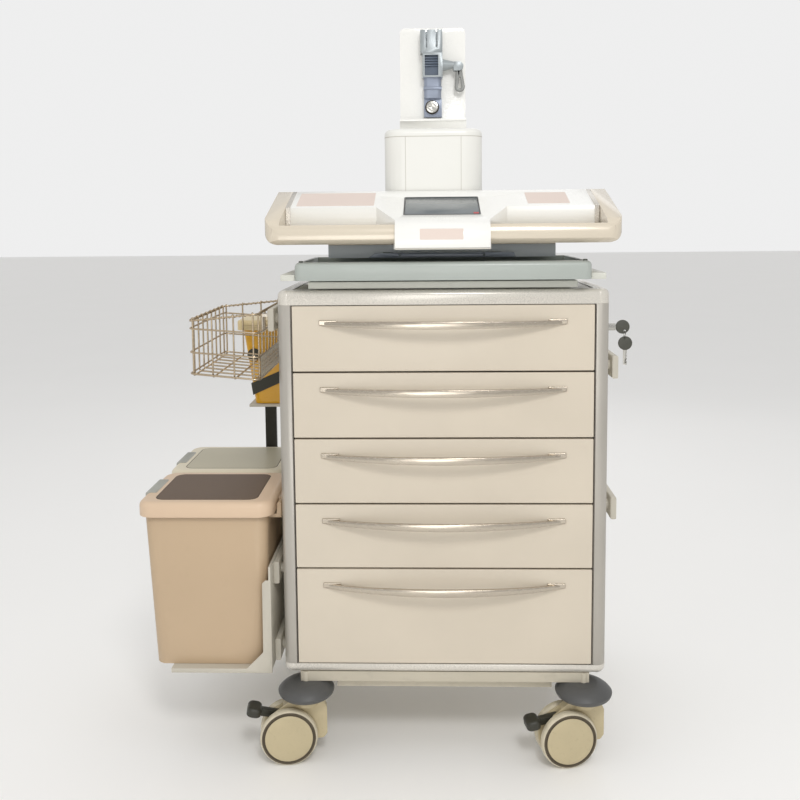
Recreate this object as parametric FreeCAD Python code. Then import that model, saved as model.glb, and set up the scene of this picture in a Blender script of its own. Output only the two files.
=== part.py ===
import FreeCAD, Part
import math
import os

# A medical workstation trolley for a clinic: a five-drawer cabinet on four twin-wheel castors, with a
# pull-out tray, a sloped console, a column with a screen bracket, two bins, a wire basket and a sharps box.
# Millimetres. X runs to the right, Y from the front to the back and Z up. While it is being built, X = 0 is
# the middle of the cabinet, Y = 0 its front and Z = 0 the floor. The finished parts are then moved together,
# so that the origin is the middle of the whole trolley on the floor.

V = FreeCAD.Vector

# Cabinet
WIDTH = 700.0
DEPTH = 520.0
CABINET_LOW = 200.0
CABINET_HIGH = 1038.0
POST = 30.0
POST_RADIUS = 20.0
TOP_BAR = 31.0
BOTTOM_BAR = 20.0
BAR_RADIUS = 12.0
CAP = 22.0
PANEL = 10.0
PANEL_INSET = 4.0
TOP_PANEL_HIGH = 1036.0

# Drawers: four small ones above a tall one
SMALL_PITCH = 143.0
SMALL_DRAWERS = 4
DRAWER_GAP = 3.5
FRONT_THICK = 18.0
FRONT_RADIUS = 2.0
SHEET = 3.0
BOX_HALF = 300.0
BOX_BACK = 468.0
BOX_FLOOR_ABOVE_FRONT = 12.0
BOX_TOP_BELOW_FRONT = 22.0
RUNNER_HIGH = 12.0
RUNNER_UP = 24.0
RUNNER_INNER = 303.0
RUNNER_FLANGE = 317.0

# Bow handles
HANDLE_LONG = 520.0
HANDLE_BOW = 42.0
HANDLE_THICK = 8.0
HANDLE_FOOT = 17.0
HANDLE_MID_HIGH = 16.0
HANDLE_END_HIGH = 8.0
HANDLE_BELOW_TOP = 38.0

# Base and castors
PLINTH_HALF = 315.0
PLINTH_FRONT = 5.0
PLINTH_LOW = 178.0
KEEL_HALF = 236.0
KEEL_FRONT = 20.0
KEEL_LOW = 159.0
CASTOR_X = 303.5
CASTOR_FRONT_Y = 10.0
CASTOR_BACK_Y = DEPTH - CASTOR_FRONT_Y
STEM_RADIUS = 8.0
STEM_LOW = 132.0
FIT = 0.05
BUMPER_RADIUS = 61.5
BUMPER_LOW = 147.0
BUMPER_RECESS = 153.0
WHEEL_RADIUS = 62.5
WHEEL_OUTER = 34.0
WHEEL_INNER = 12.5
AXLE_RADIUS = 6.0
TRAIL = 40.0
FORK_HALF = 10.5
FORK_TOP = 150.0
PEDAL_PIVOT = (62.0, 104.0)
PEDAL_PIN = 3.0
PEDAL_HUB = 7.5
PEDAL_HALF = 7.0
PEDAL_START = 39.0
PEDAL_END = 70.0
PEDAL_WIDE = 44.0
PEDAL_LOW = -8.0
PEDAL_HIGH = 12.0
CASTORS = {
    "front_left": (-CASTOR_X, CASTOR_FRONT_Y, 188.0, 13.0),
    "front_right": (CASTOR_X, CASTOR_FRONT_Y, 191.0, -9.0),
    "rear_left": (-CASTOR_X, CASTOR_BACK_Y, 174.0, None),
    "rear_right": (CASTOR_X, CASTOR_BACK_Y, 166.0, None),
}

# Accessory rails along the sides: height of each rail's middle
RAIL_INNER = 363.5
RAIL_THICK = 12.5
RAIL_HIGH = 49.0
LEFT_RAIL_FACE = -(RAIL_INNER + RAIL_THICK)
RAIL_FRONT = 40.0
RAIL_BACK = 480.0
LEFT_RAILS = (972.0, 409.0, 232.0)
RIGHT_RAILS = (866.0, 556.0)
SPACER_RADIUS = 11.5
SPACER_YS = (75.0, 260.0, 445.0)

# Pull-out tray and its base
TRAY_BASE_HALF = 283.0
TRAY_BASE_FRONT = 10.0
TRAY_BASE_HIGH = 1055.0
TRAY_HALF = 307.0
TRAY_FRONT = -30.0
TRAY_BACK = 270.0
TRAY_LOW = 1060.0
TRAY_HIGH = 1098.0
GUIDE_OUTER = 339.0
GUIDE_HIGH = 13.0

# Riser under the console
RISER_HALF = 249.0
RISER_FRONT = 100.0
RISER_BACK = 440.0
RISER_LOW = 1102.0
RISER_HIGH = 1130.0
PEDESTAL_FRONT = 290.0
HOLE_PLATE_HALF = 158.0
HOLE_PLATE_FRONT = 52.0
HOLE_PLATE_THICK = 6.0
HOLE_PLATE_LOW = 1104.0
HOLE_PLATE_HIGH = 1114.0
HOLE_SPACING = 180.0
HOLE_RADIUS = 2.7

# Console: a worktop with raised cheeks, and a sloped white housing on it
CONSOLE_HALF = 369.0
CONSOLE_FRONT = -40.0
CONSOLE_BACK = 200.0
CONSOLE_FRONT_RADIUS = 34.0
CONSOLE_BACK_RADIUS = 16.0
CONSOLE_UNDER_RADIUS = 30.0
WORKTOP_LOW = 1135.0
WORKTOP_HIGH = 1175.0
WALL_Y = 60.0
WALL_TOP = 1212.0
SLOPE = 0.32
CONSOLE_TOP = 1250.0
CHEEK_INNER = 336.0
BLOCK_HALF = 97.0
BLOCK_WIDE_HALF = 141.0
BLOCK_FRONT = -57.0
BLOCK_LOW = 1124.0
SHELL = 4.0
DISPLAY_WIDE = 162.0
DISPLAY_LONG = 130.0
DISPLAY_THICK = 9.0
DISPLAY_Y = 67.0

# Column, cap and screen bracket
COLUMN_X = -16.0
COLUMN_HALF = 113.0
COLUMN_FRONT = 202.0
COLUMN_BACK = 352.0
COLUMN_HIGH = 1374.0
COLUMN_RADIUS = 45.0
CAP_HIGH = 1392.0
BRACKET_HALF = 78.0
NECK_FRONT = 270.0
NECK_BACK = 300.0
SHELF_HIGH = 1420.0
PLATE_FRONT = 326.0
PLATE_THICK = 5.0
PLATE_HIGH = 1639.0
PLATE_RADIUS = 12.0

# Quick-release clamp on the bracket plate
CLAMP_X = -19.0
CLAMP_FRONT = 288.0
LEVER_PIVOT = (46.0, 1544.0)
KNOB_Z = 1450.0

# Bins and their carrier
BIN_LEFT = -655.0
BIN_RIGHT = -384.0
BIN_TAPER_X = 15.0
BIN_TAPER_Y = 9.0
BIN_DEEP = 224.0
BIN_PITCH = 254.0
BIN_FRONT = 13.0
BIN_LOW = 207.5
BIN_WALL = 3.0
BIN_RADIUS = 24.0
LID_LEFT = -667.0
LID_RIGHT = -370.0
LID_FRONT = 1.0
LID_DEEP = 248.0
LID_LOW = 547.0
LID_HIGH = 580.0
LID_RADIUS = 34.0
LID_HINGE_X = -363.0
LID_HINGE_Z = 560.0
LID_PIN = 2.5
CARRIER_LEFT = -600.0
CARRIER_OUTER = -381.0
CARRIER_INNER = -376.5
CARRIER_TOP = 437.0
CARRIER_BACK = 515.0

# Wire basket
WIRE = 1.7
BASKET_LEFT = -538.0
BASKET_RIGHT = -390.0
BASKET_NEAR = 2.0
BASKET_FAR = 336.0
BASKET_RADIUS = 14.0
BASKET_UPRIGHTS = (-531.0, -490.0, -444.0, -402.0)
BASKET_FLOOR_WIRES = 8
BASKET_LEVELS_LEFT = (975.0, 959.0, 908.0, 862.0)
BASKET_LEVELS_RIGHT = (989.0, 948.0, 896.0, 848.0)

# Sharps box and its holder
SHARPS_LEFT = -495.0
SHARPS_RIGHT = -388.0
SHARPS_NEAR = 356.0
SHARPS_FAR = 460.0
SHARPS_LOW = 725.0
SHARPS_HIGH = 912.0
SHARPS_LID_HIGH = 938.0
SHARPS_TAPER = 25.0
SHARPS_WALL = 2.5
POST_X = (-471.0, -441.0)
POST_Y = (503.0, 515.0)

# Lock and keys
LOCK_Y = 60.0
LOCK_Z = 951.0
LOCK_END = 372.0
BOW_RADIUS = 15.0
KEY_THICK = 3.0
KEY_X = 388.0
KEY_HOLE = (393.0, 942.0)
RING_RADIUS = 8.0
RING_WIRE = 0.8


# Basic shapes

def box(x, y, z):
    """A block. Each axis is given as its low and high end."""
    return Part.makeBox(x[1] - x[0], y[1] - y[0], z[1] - z[0], V(x[0], y[0], z[0]))


def rod(start, end, radius):
    """A round bar from one point to another."""
    start, end = V(*start), V(*end)
    return Part.makeCylinder(radius, start.distanceToPoint(end), start, end - start)


def prism(points, axis, low, high):
    """An outline drawn out along an axis. Its points are (y, z) for X, (x, z) for Y and (x, y) for Z."""
    place = {
        "X": lambda a, b: V(low, a, b),
        "Y": lambda a, b: V(a, low, b),
        "Z": lambda a, b: V(a, b, low),
    }[axis]
    corners = [place(a, b) for a, b in points]
    face = Part.Face(Part.makePolygon(corners + corners[:1]))
    return face.extrude(V(*((high - low) * (axis == name) for name in "XYZ")))


def loft(low_box, high_box, low_z, high_z, radius):
    """A tapered block with round upright corners. Each end is given as (x low, x high, y low, y high)."""
    ends = []
    for (x0, x1, y0, y1), z in ((low_box, low_z), (high_box, high_z)):
        plate = rounded(box((x0, x1), (y0, y1), (z, z + 1)), radius, "Z")
        face = min(plate.Faces, key=lambda f: f.CenterOfMass.z)
        ends.append(face.OuterWire)
    return Part.makeLoft(ends, True, True)


def edges_along(shape, axis):
    """The straight edges of a shape that run along an axis."""
    way = V(*(1.0 * (axis == name) for name in "XYZ"))
    lines = [e for e in shape.Edges if isinstance(e.Curve, Part.Line)]
    return [e for e in lines if abs(abs(e.tangentAt(e.FirstParameter).dot(way)) - 1) < 1e-6]


def rounded(shape, radius, axis, keep=lambda middle: True):
    """The shape with the edges along an axis rounded, where the edge's middle is wanted."""
    edges = [e for e in edges_along(shape, axis) if keep(e.CenterOfMass)]
    return shape.makeFillet(radius, edges)


def rounded_rim(shape, radius, z):
    """The shape with every edge that lies at one height rounded."""
    edges = [e for e in shape.Edges if abs(e.BoundBox.ZMin - z) < 1e-4 and abs(e.BoundBox.ZMax - z) < 1e-4]
    return shape.makeFillet(radius, edges)


def revolved(points, centre, axis):
    """A closed (distance from the axis, place along it) outline turned about a vertical or level axis."""
    out = V(1, 0, 0)
    corners = [centre + out * r + axis * h for r, h in points]
    face = Part.Face(Part.makePolygon(corners + corners[:1]))
    return face.revolve(centre, axis, 360)


def across(shape):
    """The shape and its mirror image on the other side of the cabinet."""
    return [shape, shape.mirror(V(0, 0, 0), V(1, 0, 0))]


def front_and_back(shapes):
    """The shapes and their mirror images at the other end of the cabinet's depth."""
    return shapes + [s.mirror(V(0, DEPTH / 2, 0), V(0, 1, 0)) for s in shapes]


def joined(shapes):
    """One solid out of several that touch."""
    return shapes[0].fuse(shapes[1:]).removeSplitter()


def group(shapes):
    """Several separate solids kept as one piece."""
    solids = [solid for shape in shapes for solid in shape.Solids]
    return Part.makeCompound(solids)


# Cabinet

def corner_posts():
    half = WIDTH / 2
    post = box((-half, POST - half), (0, POST), (CABINET_LOW + BOTTOM_BAR, CABINET_HIGH - TOP_BAR))
    post = rounded(post, POST_RADIUS, "Z", lambda m: m.x < 1 - half and m.y < 1)
    return group(front_and_back(across(post)))


def frame_ring(low, high, rim):
    """A frame round the cabinet with a rounded outer rim at its top or bottom."""
    half = WIDTH / 2
    ring = rounded(box((-half, half), (0, DEPTH), (low, high)), POST_RADIUS, "Z")
    ring = rounded_rim(ring, BAR_RADIUS, rim)
    return ring.cut(box((POST - half, half - POST), (POST, DEPTH - POST), (low - 1, high + 1)))


def frame_rings():
    top = frame_ring(CABINET_HIGH - TOP_BAR, CABINET_HIGH, CABINET_HIGH)
    bottom = frame_ring(CABINET_LOW, CABINET_LOW + BOTTOM_BAR, CABINET_LOW)
    half = WIDTH / 2
    corner = box((-half - 1, CAP - half), (-1, CAP), (CABINET_LOW - 1, CABINET_HIGH + 1))
    corners = front_and_back(across(corner))
    bars = [ring.cut(corners) for ring in (top, bottom)]
    caps = [ring.common(corner) for ring in (top, bottom) for corner in corners]
    return {"frame_bars": group(bars), "corner_caps": group(caps)}


def cabinet_panels():
    half = WIDTH / 2
    inner = half - POST
    low, high = CABINET_LOW + BOTTOM_BAR, CABINET_HIGH - TOP_BAR
    side_x = (half - PANEL_INSET - PANEL, half - PANEL_INSET)
    right = box(side_x, (POST, DEPTH - POST), (low, high))
    left = right.mirror(V(0, 0, 0), V(1, 0, 0))
    right = right.cut(rod((side_x[0] - 1, LOCK_Y, LOCK_Z), (side_x[1] + 1, LOCK_Y, LOCK_Z), 8.0))
    back_y = DEPTH - PANEL_INSET
    return {
        "left_side_panel": left,
        "right_side_panel": right,
        "back_panel": box((-inner, inner), (back_y - PANEL, back_y), (low, high)),
        "top_panel": box((-inner, inner), (POST, DEPTH - POST), (TOP_PANEL_HIGH - PANEL, TOP_PANEL_HIGH)),
        "bottom_panel": box((-inner, inner), (POST, DEPTH - POST),
                            (CABINET_LOW + 2, CABINET_LOW + 2 + PANEL)),
    }


def drawer_spans():
    """The low and high end of each drawer front, from the top one down."""
    top = CABINET_HIGH - TOP_BAR
    spans = []
    for number in range(SMALL_DRAWERS):
        high = top - number * SMALL_PITCH
        spans.append((high - SMALL_PITCH, high))
    spans.append((CABINET_LOW + BOTTOM_BAR, spans[-1][0]))
    return [(low + DRAWER_GAP / 2, high - DRAWER_GAP / 2) for low, high in spans]


def drawer_front(low, high):
    half = WIDTH / 2 - POST - DRAWER_GAP / 2
    panel = box((-half, half), (0, FRONT_THICK), (low, high))
    panel = rounded(panel, FRONT_RADIUS, "X", lambda m: m.y < 1)
    return rounded(panel, FRONT_RADIUS, "Z", lambda m: m.y < 1)


def drawer_box(low, high):
    floor = low + BOX_FLOOR_ABOVE_FRONT
    top = high - BOX_TOP_BELOW_FRONT
    outer = box((-BOX_HALF, BOX_HALF), (FRONT_THICK, BOX_BACK), (floor, top))
    inner = box((SHEET - BOX_HALF, BOX_HALF - SHEET), (FRONT_THICK + SHEET, BOX_BACK - SHEET),
                (floor + SHEET, top + 1))
    flange_z = low + RUNNER_UP + RUNNER_HIGH + 1
    flange = box((BOX_HALF, RUNNER_FLANGE), (RAIL_FRONT, BOX_BACK), (flange_z, flange_z + 6))
    return joined([outer.cut(inner)] + across(flange))


def drawer_runners():
    x = (RUNNER_INNER, WIDTH / 2 - PANEL_INSET - PANEL)
    bars = []
    for low, high in drawer_spans():
        span = (low + RUNNER_UP, low + RUNNER_UP + RUNNER_HIGH)
        bars += across(box(x, (RAIL_FRONT, DEPTH - RAIL_FRONT), span))
    return group(bars)


def arc_face(outer_ends, outer_mid, inner_ends, inner_mid, axis):
    """A face between two arcs over the same span, in the level plane or the upright front plane."""
    def point(a, b):
        return V(a, b, 0) if axis == "Z" else V(a, 0, b)
    (x0, y0), (x1, y1) = outer_ends, inner_ends
    outer = Part.Arc(point(-x0, y0), point(0, outer_mid), point(x0, y0)).toShape()
    inner = Part.Arc(point(x1, y1), point(0, inner_mid), point(-x1, y1)).toShape()
    sides = [Part.makeLine(point(x0, y0), point(x1, y1)), Part.makeLine(point(-x1, y1), point(-x0, y0))]
    return Part.Face(Part.Wire(Part.__sortEdges__([outer, sides[0], inner, sides[1]])))


def drawer_handle(high):
    """A bow handle: a crescent seen from above, and a slim lens seen from the front."""
    half = HANDLE_LONG / 2
    bow = arc_face((half, 0), -HANDLE_BOW, (half - HANDLE_FOOT, 0), HANDLE_THICK - HANDLE_BOW, "Z")
    bow = bow.extrude(V(0, 0, 2 * HANDLE_MID_HIGH))
    bow.translate(V(0, 0, -HANDLE_MID_HIGH))
    mid, end = HANDLE_MID_HIGH / 2, HANDLE_END_HIGH / 2
    lens = arc_face((half + 1, end), mid, (half + 1, -end), -mid, "Y")
    lens = lens.extrude(V(0, -2 * HANDLE_BOW, 0))
    handle = bow.common(lens)
    handle.translate(V(0, 0, high - HANDLE_BELOW_TOP))
    return handle


def drawers():
    nodes = {}
    for number, (low, high) in enumerate(drawer_spans(), start=1):
        nodes[f"drawer_{number}_front"] = drawer_front(low, high)
        nodes[f"drawer_{number}_box"] = drawer_box(low, high)
        nodes[f"drawer_{number}_handle"] = drawer_handle(high)
    return nodes


# Base and castors

def open_tray(half, front, back, low, high):
    """A sheet tray with its open side up."""
    outer = box((-half, half), (front, back), (low, high))
    inner = box((SHEET - half, half - SHEET), (front + SHEET, back - SHEET), (low + SHEET, high + 1))
    return outer.cut(inner)


def base_frame():
    plinth = open_tray(PLINTH_HALF, PLINTH_FRONT, DEPTH - PLINTH_FRONT, PLINTH_LOW, CABINET_LOW)
    keel = open_tray(KEEL_HALF, KEEL_FRONT, DEPTH - KEEL_FRONT, KEEL_LOW, PLINTH_LOW)
    pieces = [plinth, keel]
    for x, y, turn, pedal in CASTORS.values():
        inward = -math.copysign(28.0, x)
        deep = math.copysign(28.0, DEPTH / 2 - y)
        across_x = sorted((x - inward / 7, x + inward))
        along_y = sorted((y - deep / 14, y + deep))
        pieces.append(box(across_x, along_y, (PLINTH_LOW, CABINET_LOW)))
        pieces.append(rod((x, y, CABINET_LOW), (x, y, STEM_LOW), STEM_RADIUS))
    return joined(pieces)


def castor_bumpers():
    """Round soft domes that stand out past the cabinet at its four corners, hollowed over the forks."""
    bumpers = []
    for x, y, turn, pedal in CASTORS.values():
        widest = V(x + BUMPER_RADIUS, y, BUMPER_LOW + 13)
        top = V(x + 28, y, PLINTH_LOW)
        corners = [top, V(x + STEM_RADIUS, y, PLINTH_LOW), V(x + STEM_RADIUS, y, BUMPER_RECESS),
                   V(x + 31, y, BUMPER_RECESS), V(x + 34, y, BUMPER_LOW), V(x + 50, y, BUMPER_LOW)]
        edges = [Part.makeLine(a, b) for a, b in zip(corners, corners[1:])]
        edges.append(Part.Arc(corners[-1], V(x + 58, y, BUMPER_LOW + 4), widest).toShape())
        edges.append(Part.Arc(widest, V(x + 50, y, PLINTH_LOW - 7), top).toShape())
        bumpers.append(Part.Face(Part.Wire(edges)).revolve(V(x, y, 0), V(0, 0, 1), 360))
    return group(bumpers)


def castor_fork(has_pedal):
    """The body between the twin wheels, drawn with its swivel axis at x = 0 and its trail along +X."""
    outline = [(-44, 58), (-44, 116), (-30, 146), (26, 146), (56, 122), (73, 110), (70, 92), (58, 58),
               (50, 46), (28, 44), (-36, 48)]
    body = prism(outline, "Y", -FORK_HALF, FORK_HALF)
    body = rounded(body, 6.0, "Y")
    hub = rod((0, 0, 126), (0, 0, FORK_TOP), 26.0)
    fork = joined([body, hub])
    fork = fork.cut(rod((0, 0, STEM_LOW - 4), (0, 0, FORK_TOP + 1), STEM_RADIUS + FIT))
    fork = fork.cut(rod((TRAIL, -40, WHEEL_RADIUS), (TRAIL, 40, WHEEL_RADIUS), AXLE_RADIUS + FIT))
    if has_pedal:
        x, z = PEDAL_PIVOT
        slot = PEDAL_HALF + 0.5
        fork = fork.cut(box((x - PEDAL_HUB - 3, x + 30), (-slot, slot), (z - 16, z + 30)))
        fork = joined([fork, rod((x, -FORK_HALF, z), (x, FORK_HALF, z), PEDAL_PIN)])
    return fork


def castor_wheels():
    """Two wheels on one axle. Each has a rounded tread, a recessed ring and a proud hub cover."""
    outer, inner = WHEEL_OUTER, WHEEL_INNER
    outline = [(0, inner), (56, inner), (60.5, inner + 2), (WHEEL_RADIUS, inner + 6),
               (WHEEL_RADIUS, outer - 8), (61, outer - 4), (58.5, outer - 1.5), (55.5, outer - 1.5),
               (54.5, outer - 3), (52.5, outer - 3), (51.5, outer - 1), (46, outer), (0, outer)]
    centre = V(TRAIL, 0, WHEEL_RADIUS)
    wheel = revolved(outline, centre, V(0, -1, 0))
    axle = rod((TRAIL, -inner, WHEEL_RADIUS), (TRAIL, inner, WHEEL_RADIUS), AXLE_RADIUS)
    other = wheel.mirror(V(0, 0, 0), V(0, 1, 0))
    return group([wheel, other, axle])


def castor_pedal(angle):
    """A brake pedal on its pin, at an angle above level."""
    x, z = PEDAL_PIVOT
    hub = rod((x, -PEDAL_HALF, z), (x, PEDAL_HALF, z), PEDAL_HUB)
    arm = box((x, x + PEDAL_START + 4), (-PEDAL_HALF, PEDAL_HALF), (z - PEDAL_HUB, z + PEDAL_HUB))
    pad = box((x + PEDAL_START, x + PEDAL_END), (-PEDAL_WIDE / 2, PEDAL_WIDE / 2),
              (z + PEDAL_LOW, z + PEDAL_HIGH))
    pad = rounded(pad, 12.0, "Z")
    pad = rounded_rim(pad, 7.0, z + PEDAL_HIGH)
    pad = rounded_rim(pad, 3.0, z + PEDAL_LOW)
    pedal = joined([hub, arm, pad])
    pedal = pedal.cut(rod((x, -FORK_HALF, z), (x, FORK_HALF, z), PEDAL_PIN + FIT))
    pedal.rotate(V(x, 0, z), V(0, 1, 0), -angle)
    return pedal


def castors():
    nodes = {}
    for name, (x, y, turn, pedal) in CASTORS.items():
        pieces = {"fork": castor_fork(pedal is not None), "wheels": castor_wheels()}
        if pedal is not None:
            pieces["pedal"] = castor_pedal(pedal)
        for piece, shape in pieces.items():
            shape.rotate(V(0, 0, 0), V(0, 0, 1), turn)
            shape.translate(V(x, y, 0))
            nodes[f"{name}_castor_{piece}"] = shape
    return nodes


# Accessory rails

def rail_places():
    return [(-1, z) for z in LEFT_RAILS] + [(1, z) for z in RIGHT_RAILS]


def side_rails():
    rails = []
    for side, z in rail_places():
        x = sorted((side * RAIL_INNER, side * (RAIL_INNER + RAIL_THICK)))
        rail = box(x, (RAIL_FRONT, RAIL_BACK), (z - RAIL_HIGH / 2, z + RAIL_HIGH / 2))
        start = side * (WIDTH / 2 - PANEL_INSET)
        spacers = [rod((start, y, z), (side * RAIL_INNER, y, z), SPACER_RADIUS) for y in SPACER_YS]
        rails.append(joined([rounded(rail, 3.0, "Y")] + spacers))
    return group(rails)


# Tray

def tray_base():
    """A plate on the cabinet top, and two guides beside the tray carried on cross bars."""
    plate = box((-TRAY_BASE_HALF, TRAY_BASE_HALF), (TRAY_BASE_FRONT, PEDESTAL_FRONT - 2),
                (TOP_PANEL_HIGH + 5, TRAY_BASE_HIGH))
    foot = box((-TRAY_BASE_HALF + 12, TRAY_BASE_HALF - 12), (POST + 6, PEDESTAL_FRONT - 14),
               (TOP_PANEL_HIGH, TOP_PANEL_HIGH + 5))
    bars = [box((-GUIDE_OUTER, GUIDE_OUTER), (y, y + 24), (TRAY_BASE_HIGH, TRAY_BASE_HIGH + 4))
            for y in (60, 230)]
    guide_low = TRAY_BASE_HIGH + 4
    guides = across(box((TRAY_HALF + 2, GUIDE_OUTER), (CONSOLE_FRONT + 32, TRAY_BACK),
                        (guide_low, guide_low + GUIDE_HIGH)))
    return joined([plate, foot] + bars + guides)


def keyboard_tray():
    """A shallow tray with a thick rounded front."""
    outer = box((-TRAY_HALF, TRAY_HALF), (TRAY_FRONT, TRAY_BACK), (TRAY_LOW, TRAY_HIGH))
    outer = rounded(outer, 14.0, "Z")
    outer = rounded(outer, 10.0, "X", lambda m: m.y < 0 and m.z > TRAY_LOW + 5)
    well = box((16 - TRAY_HALF, TRAY_HALF - 16), (TRAY_FRONT + 30, TRAY_BACK - 12),
               (TRAY_LOW + 6, TRAY_HIGH + 1))
    nubs = [rod((x, TRAY_FRONT + 20, TRAY_HIGH - 2), (x, TRAY_FRONT + 20, TRAY_HIGH + 3), 4.0)
            for x in (12 - TRAY_HALF, TRAY_HALF - 12)]
    return joined([outer.cut(well)] + nubs)


def riser():
    """The folded box that carries the console over the tray, open underneath."""
    outer = []
    inner = []
    for front, low in ((RISER_FRONT, RISER_LOW), (PEDESTAL_FRONT, TOP_PANEL_HIGH)):
        outer.append(box((-RISER_HALF, RISER_HALF), (front, RISER_BACK), (low, RISER_HIGH)))
        inner.append(box((SHELL - RISER_HALF, RISER_HALF - SHELL), (front + SHELL, RISER_BACK - SHELL),
                         (low - 1, RISER_HIGH - SHELL)))
    return joined(outer).cut(inner)


def bolt_plate():
    """A slim plate on two brackets in front of the riser, with two screw holes."""
    back = HOLE_PLATE_FRONT + HOLE_PLATE_THICK
    half = HOLE_PLATE_HALF
    outline = [(-half, HOLE_PLATE_LOW), (half, HOLE_PLATE_LOW), (half - 4, HOLE_PLATE_HIGH),
               (14 - half, HOLE_PLATE_HIGH)]
    plate = prism(outline, "Y", HOLE_PLATE_FRONT, back)
    middle = (HOLE_PLATE_LOW + HOLE_PLATE_HIGH) / 2
    arms = []
    for side in (-1, 1):
        x = side * HOLE_SPACING / 2
        plate = plate.cut(rod((x, HOLE_PLATE_FRONT - 1, middle), (x, back + 1, middle), HOLE_RADIUS))
        arm_x = sorted((side * (half - 30), side * (half - 60)))
        arms.append(box(arm_x, (back, RISER_FRONT), (HOLE_PLATE_LOW, HOLE_PLATE_HIGH)))
    return joined([plate] + arms)


# Console

def slope_z(y):
    """The height of the console's slope above a depth."""
    return WALL_TOP + SLOPE * (y - WALL_Y)


def slope_top_y():
    """Where the slope reaches the console's flat top."""
    return WALL_Y + (CONSOLE_TOP - WALL_TOP) / SLOPE


def worktop_outer():
    """The whole outside of the worktop and its cheeks."""
    nose = CONSOLE_FRONT
    outline = [(nose + 16, WORKTOP_LOW), (nose, WORKTOP_LOW + 10), (nose, WORKTOP_HIGH - 12),
               (nose + 6, WORKTOP_HIGH - 2), (nose + 18, slope_z(nose + 18)), (slope_top_y(), CONSOLE_TOP),
               (CONSOLE_BACK, CONSOLE_TOP), (CONSOLE_BACK, WORKTOP_LOW)]
    x = (-CONSOLE_HALF, CONSOLE_HALF)
    plan = box(x, (nose, CONSOLE_BACK), (WORKTOP_LOW - 1, CONSOLE_TOP + 1))
    plan = rounded(plan, CONSOLE_FRONT_RADIUS, "Z", lambda m: m.y < 0)
    plan = rounded(plan, CONSOLE_BACK_RADIUS, "Z", lambda m: m.y > CONSOLE_BACK - 1)
    ends = box(x, (nose - 1, CONSOLE_BACK + 1), (WORKTOP_LOW, CONSOLE_TOP + 1))
    ends = rounded(ends, CONSOLE_UNDER_RADIUS, "Y", lambda m: m.z < WORKTOP_LOW + 1)
    return prism(outline, "X", *x).common(plan).common(ends)


def worktop_pocket():
    """The space between the cheeks, above the ledge."""
    return box((-CHEEK_INNER, CHEEK_INNER), (CONSOLE_FRONT - 1, CONSOLE_BACK + 1),
               (WORKTOP_HIGH, CONSOLE_TOP + 1))


def worktop():
    under = box((-CHEEK_INNER, CHEEK_INNER), (CONSOLE_FRONT + 24, CONSOLE_BACK - 12),
                (WORKTOP_LOW - 1, WORKTOP_HIGH - 8))
    seat = box((-RISER_HALF, RISER_HALF), (RISER_FRONT + 4, CONSOLE_BACK - 20),
               (RISER_HIGH, WORKTOP_HIGH - 7))
    seat_inside = box((SHELL - RISER_HALF, RISER_HALF - SHELL), (RISER_FRONT + 8, CONSOLE_BACK - 24),
                      (RISER_HIGH - 1, WORKTOP_HIGH - 8))
    return joined([worktop_outer().cut([worktop_pocket(), under]), seat.cut(seat_inside)])


def display_frame():
    """How a flat block drawn about the origin is laid on the slope."""
    turn = FreeCAD.Rotation(V(1, 0, 0), math.degrees(math.atan(SLOPE)))
    return FreeCAD.Placement(V(0, DISPLAY_Y, slope_z(DISPLAY_Y)), turn)


def display_block(grow, deep):
    """The display's outline as a block that goes deep under the slope."""
    wide, long = DISPLAY_WIDE / 2 + grow, DISPLAY_LONG / 2 + grow
    block = rounded(box((-wide, wide), (-long, long), (-deep, 0)), 4.0, "Z")
    block.Placement = display_frame()
    return block


def housing_profile(wall):
    """The side outline of the wall, slope and flat top, drawn in by a wall thickness."""
    back = CONSOLE_BACK - wall
    top = CONSOLE_TOP - wall
    low = WORKTOP_HIGH - (wall > 0)
    return [(WALL_Y + wall, low), (WALL_Y + wall, WALL_TOP - wall), (slope_top_y(), top), (back, top),
            (back, low)]


def housing_block():
    """The middle block, which comes forward over the front of the worktop."""
    front, wide_y = CONSOLE_FRONT + 12, WALL_Y + 2
    plan = [(-BLOCK_WIDE_HALF, wide_y), (-BLOCK_HALF, front), (-BLOCK_HALF, BLOCK_FRONT),
            (BLOCK_HALF, BLOCK_FRONT), (BLOCK_HALF, front), (BLOCK_WIDE_HALF, wide_y)]
    back = wide_y + 1
    nose = BLOCK_FRONT
    side = [(back, BLOCK_LOW), (back, slope_z(back)), (nose + 18, slope_z(nose + 18)),
            (nose + 5, slope_z(nose + 5) - 7), (nose, WORKTOP_HIGH - 18), (nose, BLOCK_LOW + 3),
            (nose + 3, BLOCK_LOW)]
    block = prism(plan, "Z", BLOCK_LOW, CONSOLE_TOP)
    return block.common(prism(side, "X", -BLOCK_WIDE_HALF, BLOCK_WIDE_HALF)).cut(worktop_to_trim())


def console_housing():
    """The white housing: a wall and a slope behind the ledge, and a block that comes forward."""
    half = CHEEK_INNER - 0.5
    body = prism(housing_profile(0), "X", -half, half)
    core = prism(housing_profile(SHELL), "X", SHELL - half, half - SHELL)
    return joined([body.cut(core), housing_block()]).cut(display_block(0.0, DISPLAY_THICK))


def worktop_to_trim():
    """The worktop without its pocket, and the space under it, to trim the block that laps over it."""
    under = box((-CHEEK_INNER, CHEEK_INNER), (CONSOLE_FRONT + 20, CONSOLE_BACK),
                (BLOCK_LOW - 1, WORKTOP_HIGH - 20))
    return joined([worktop_outer().cut(worktop_pocket()), under])


def display():
    return display_block(-0.2, DISPLAY_THICK)


# Column and screen bracket

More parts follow.
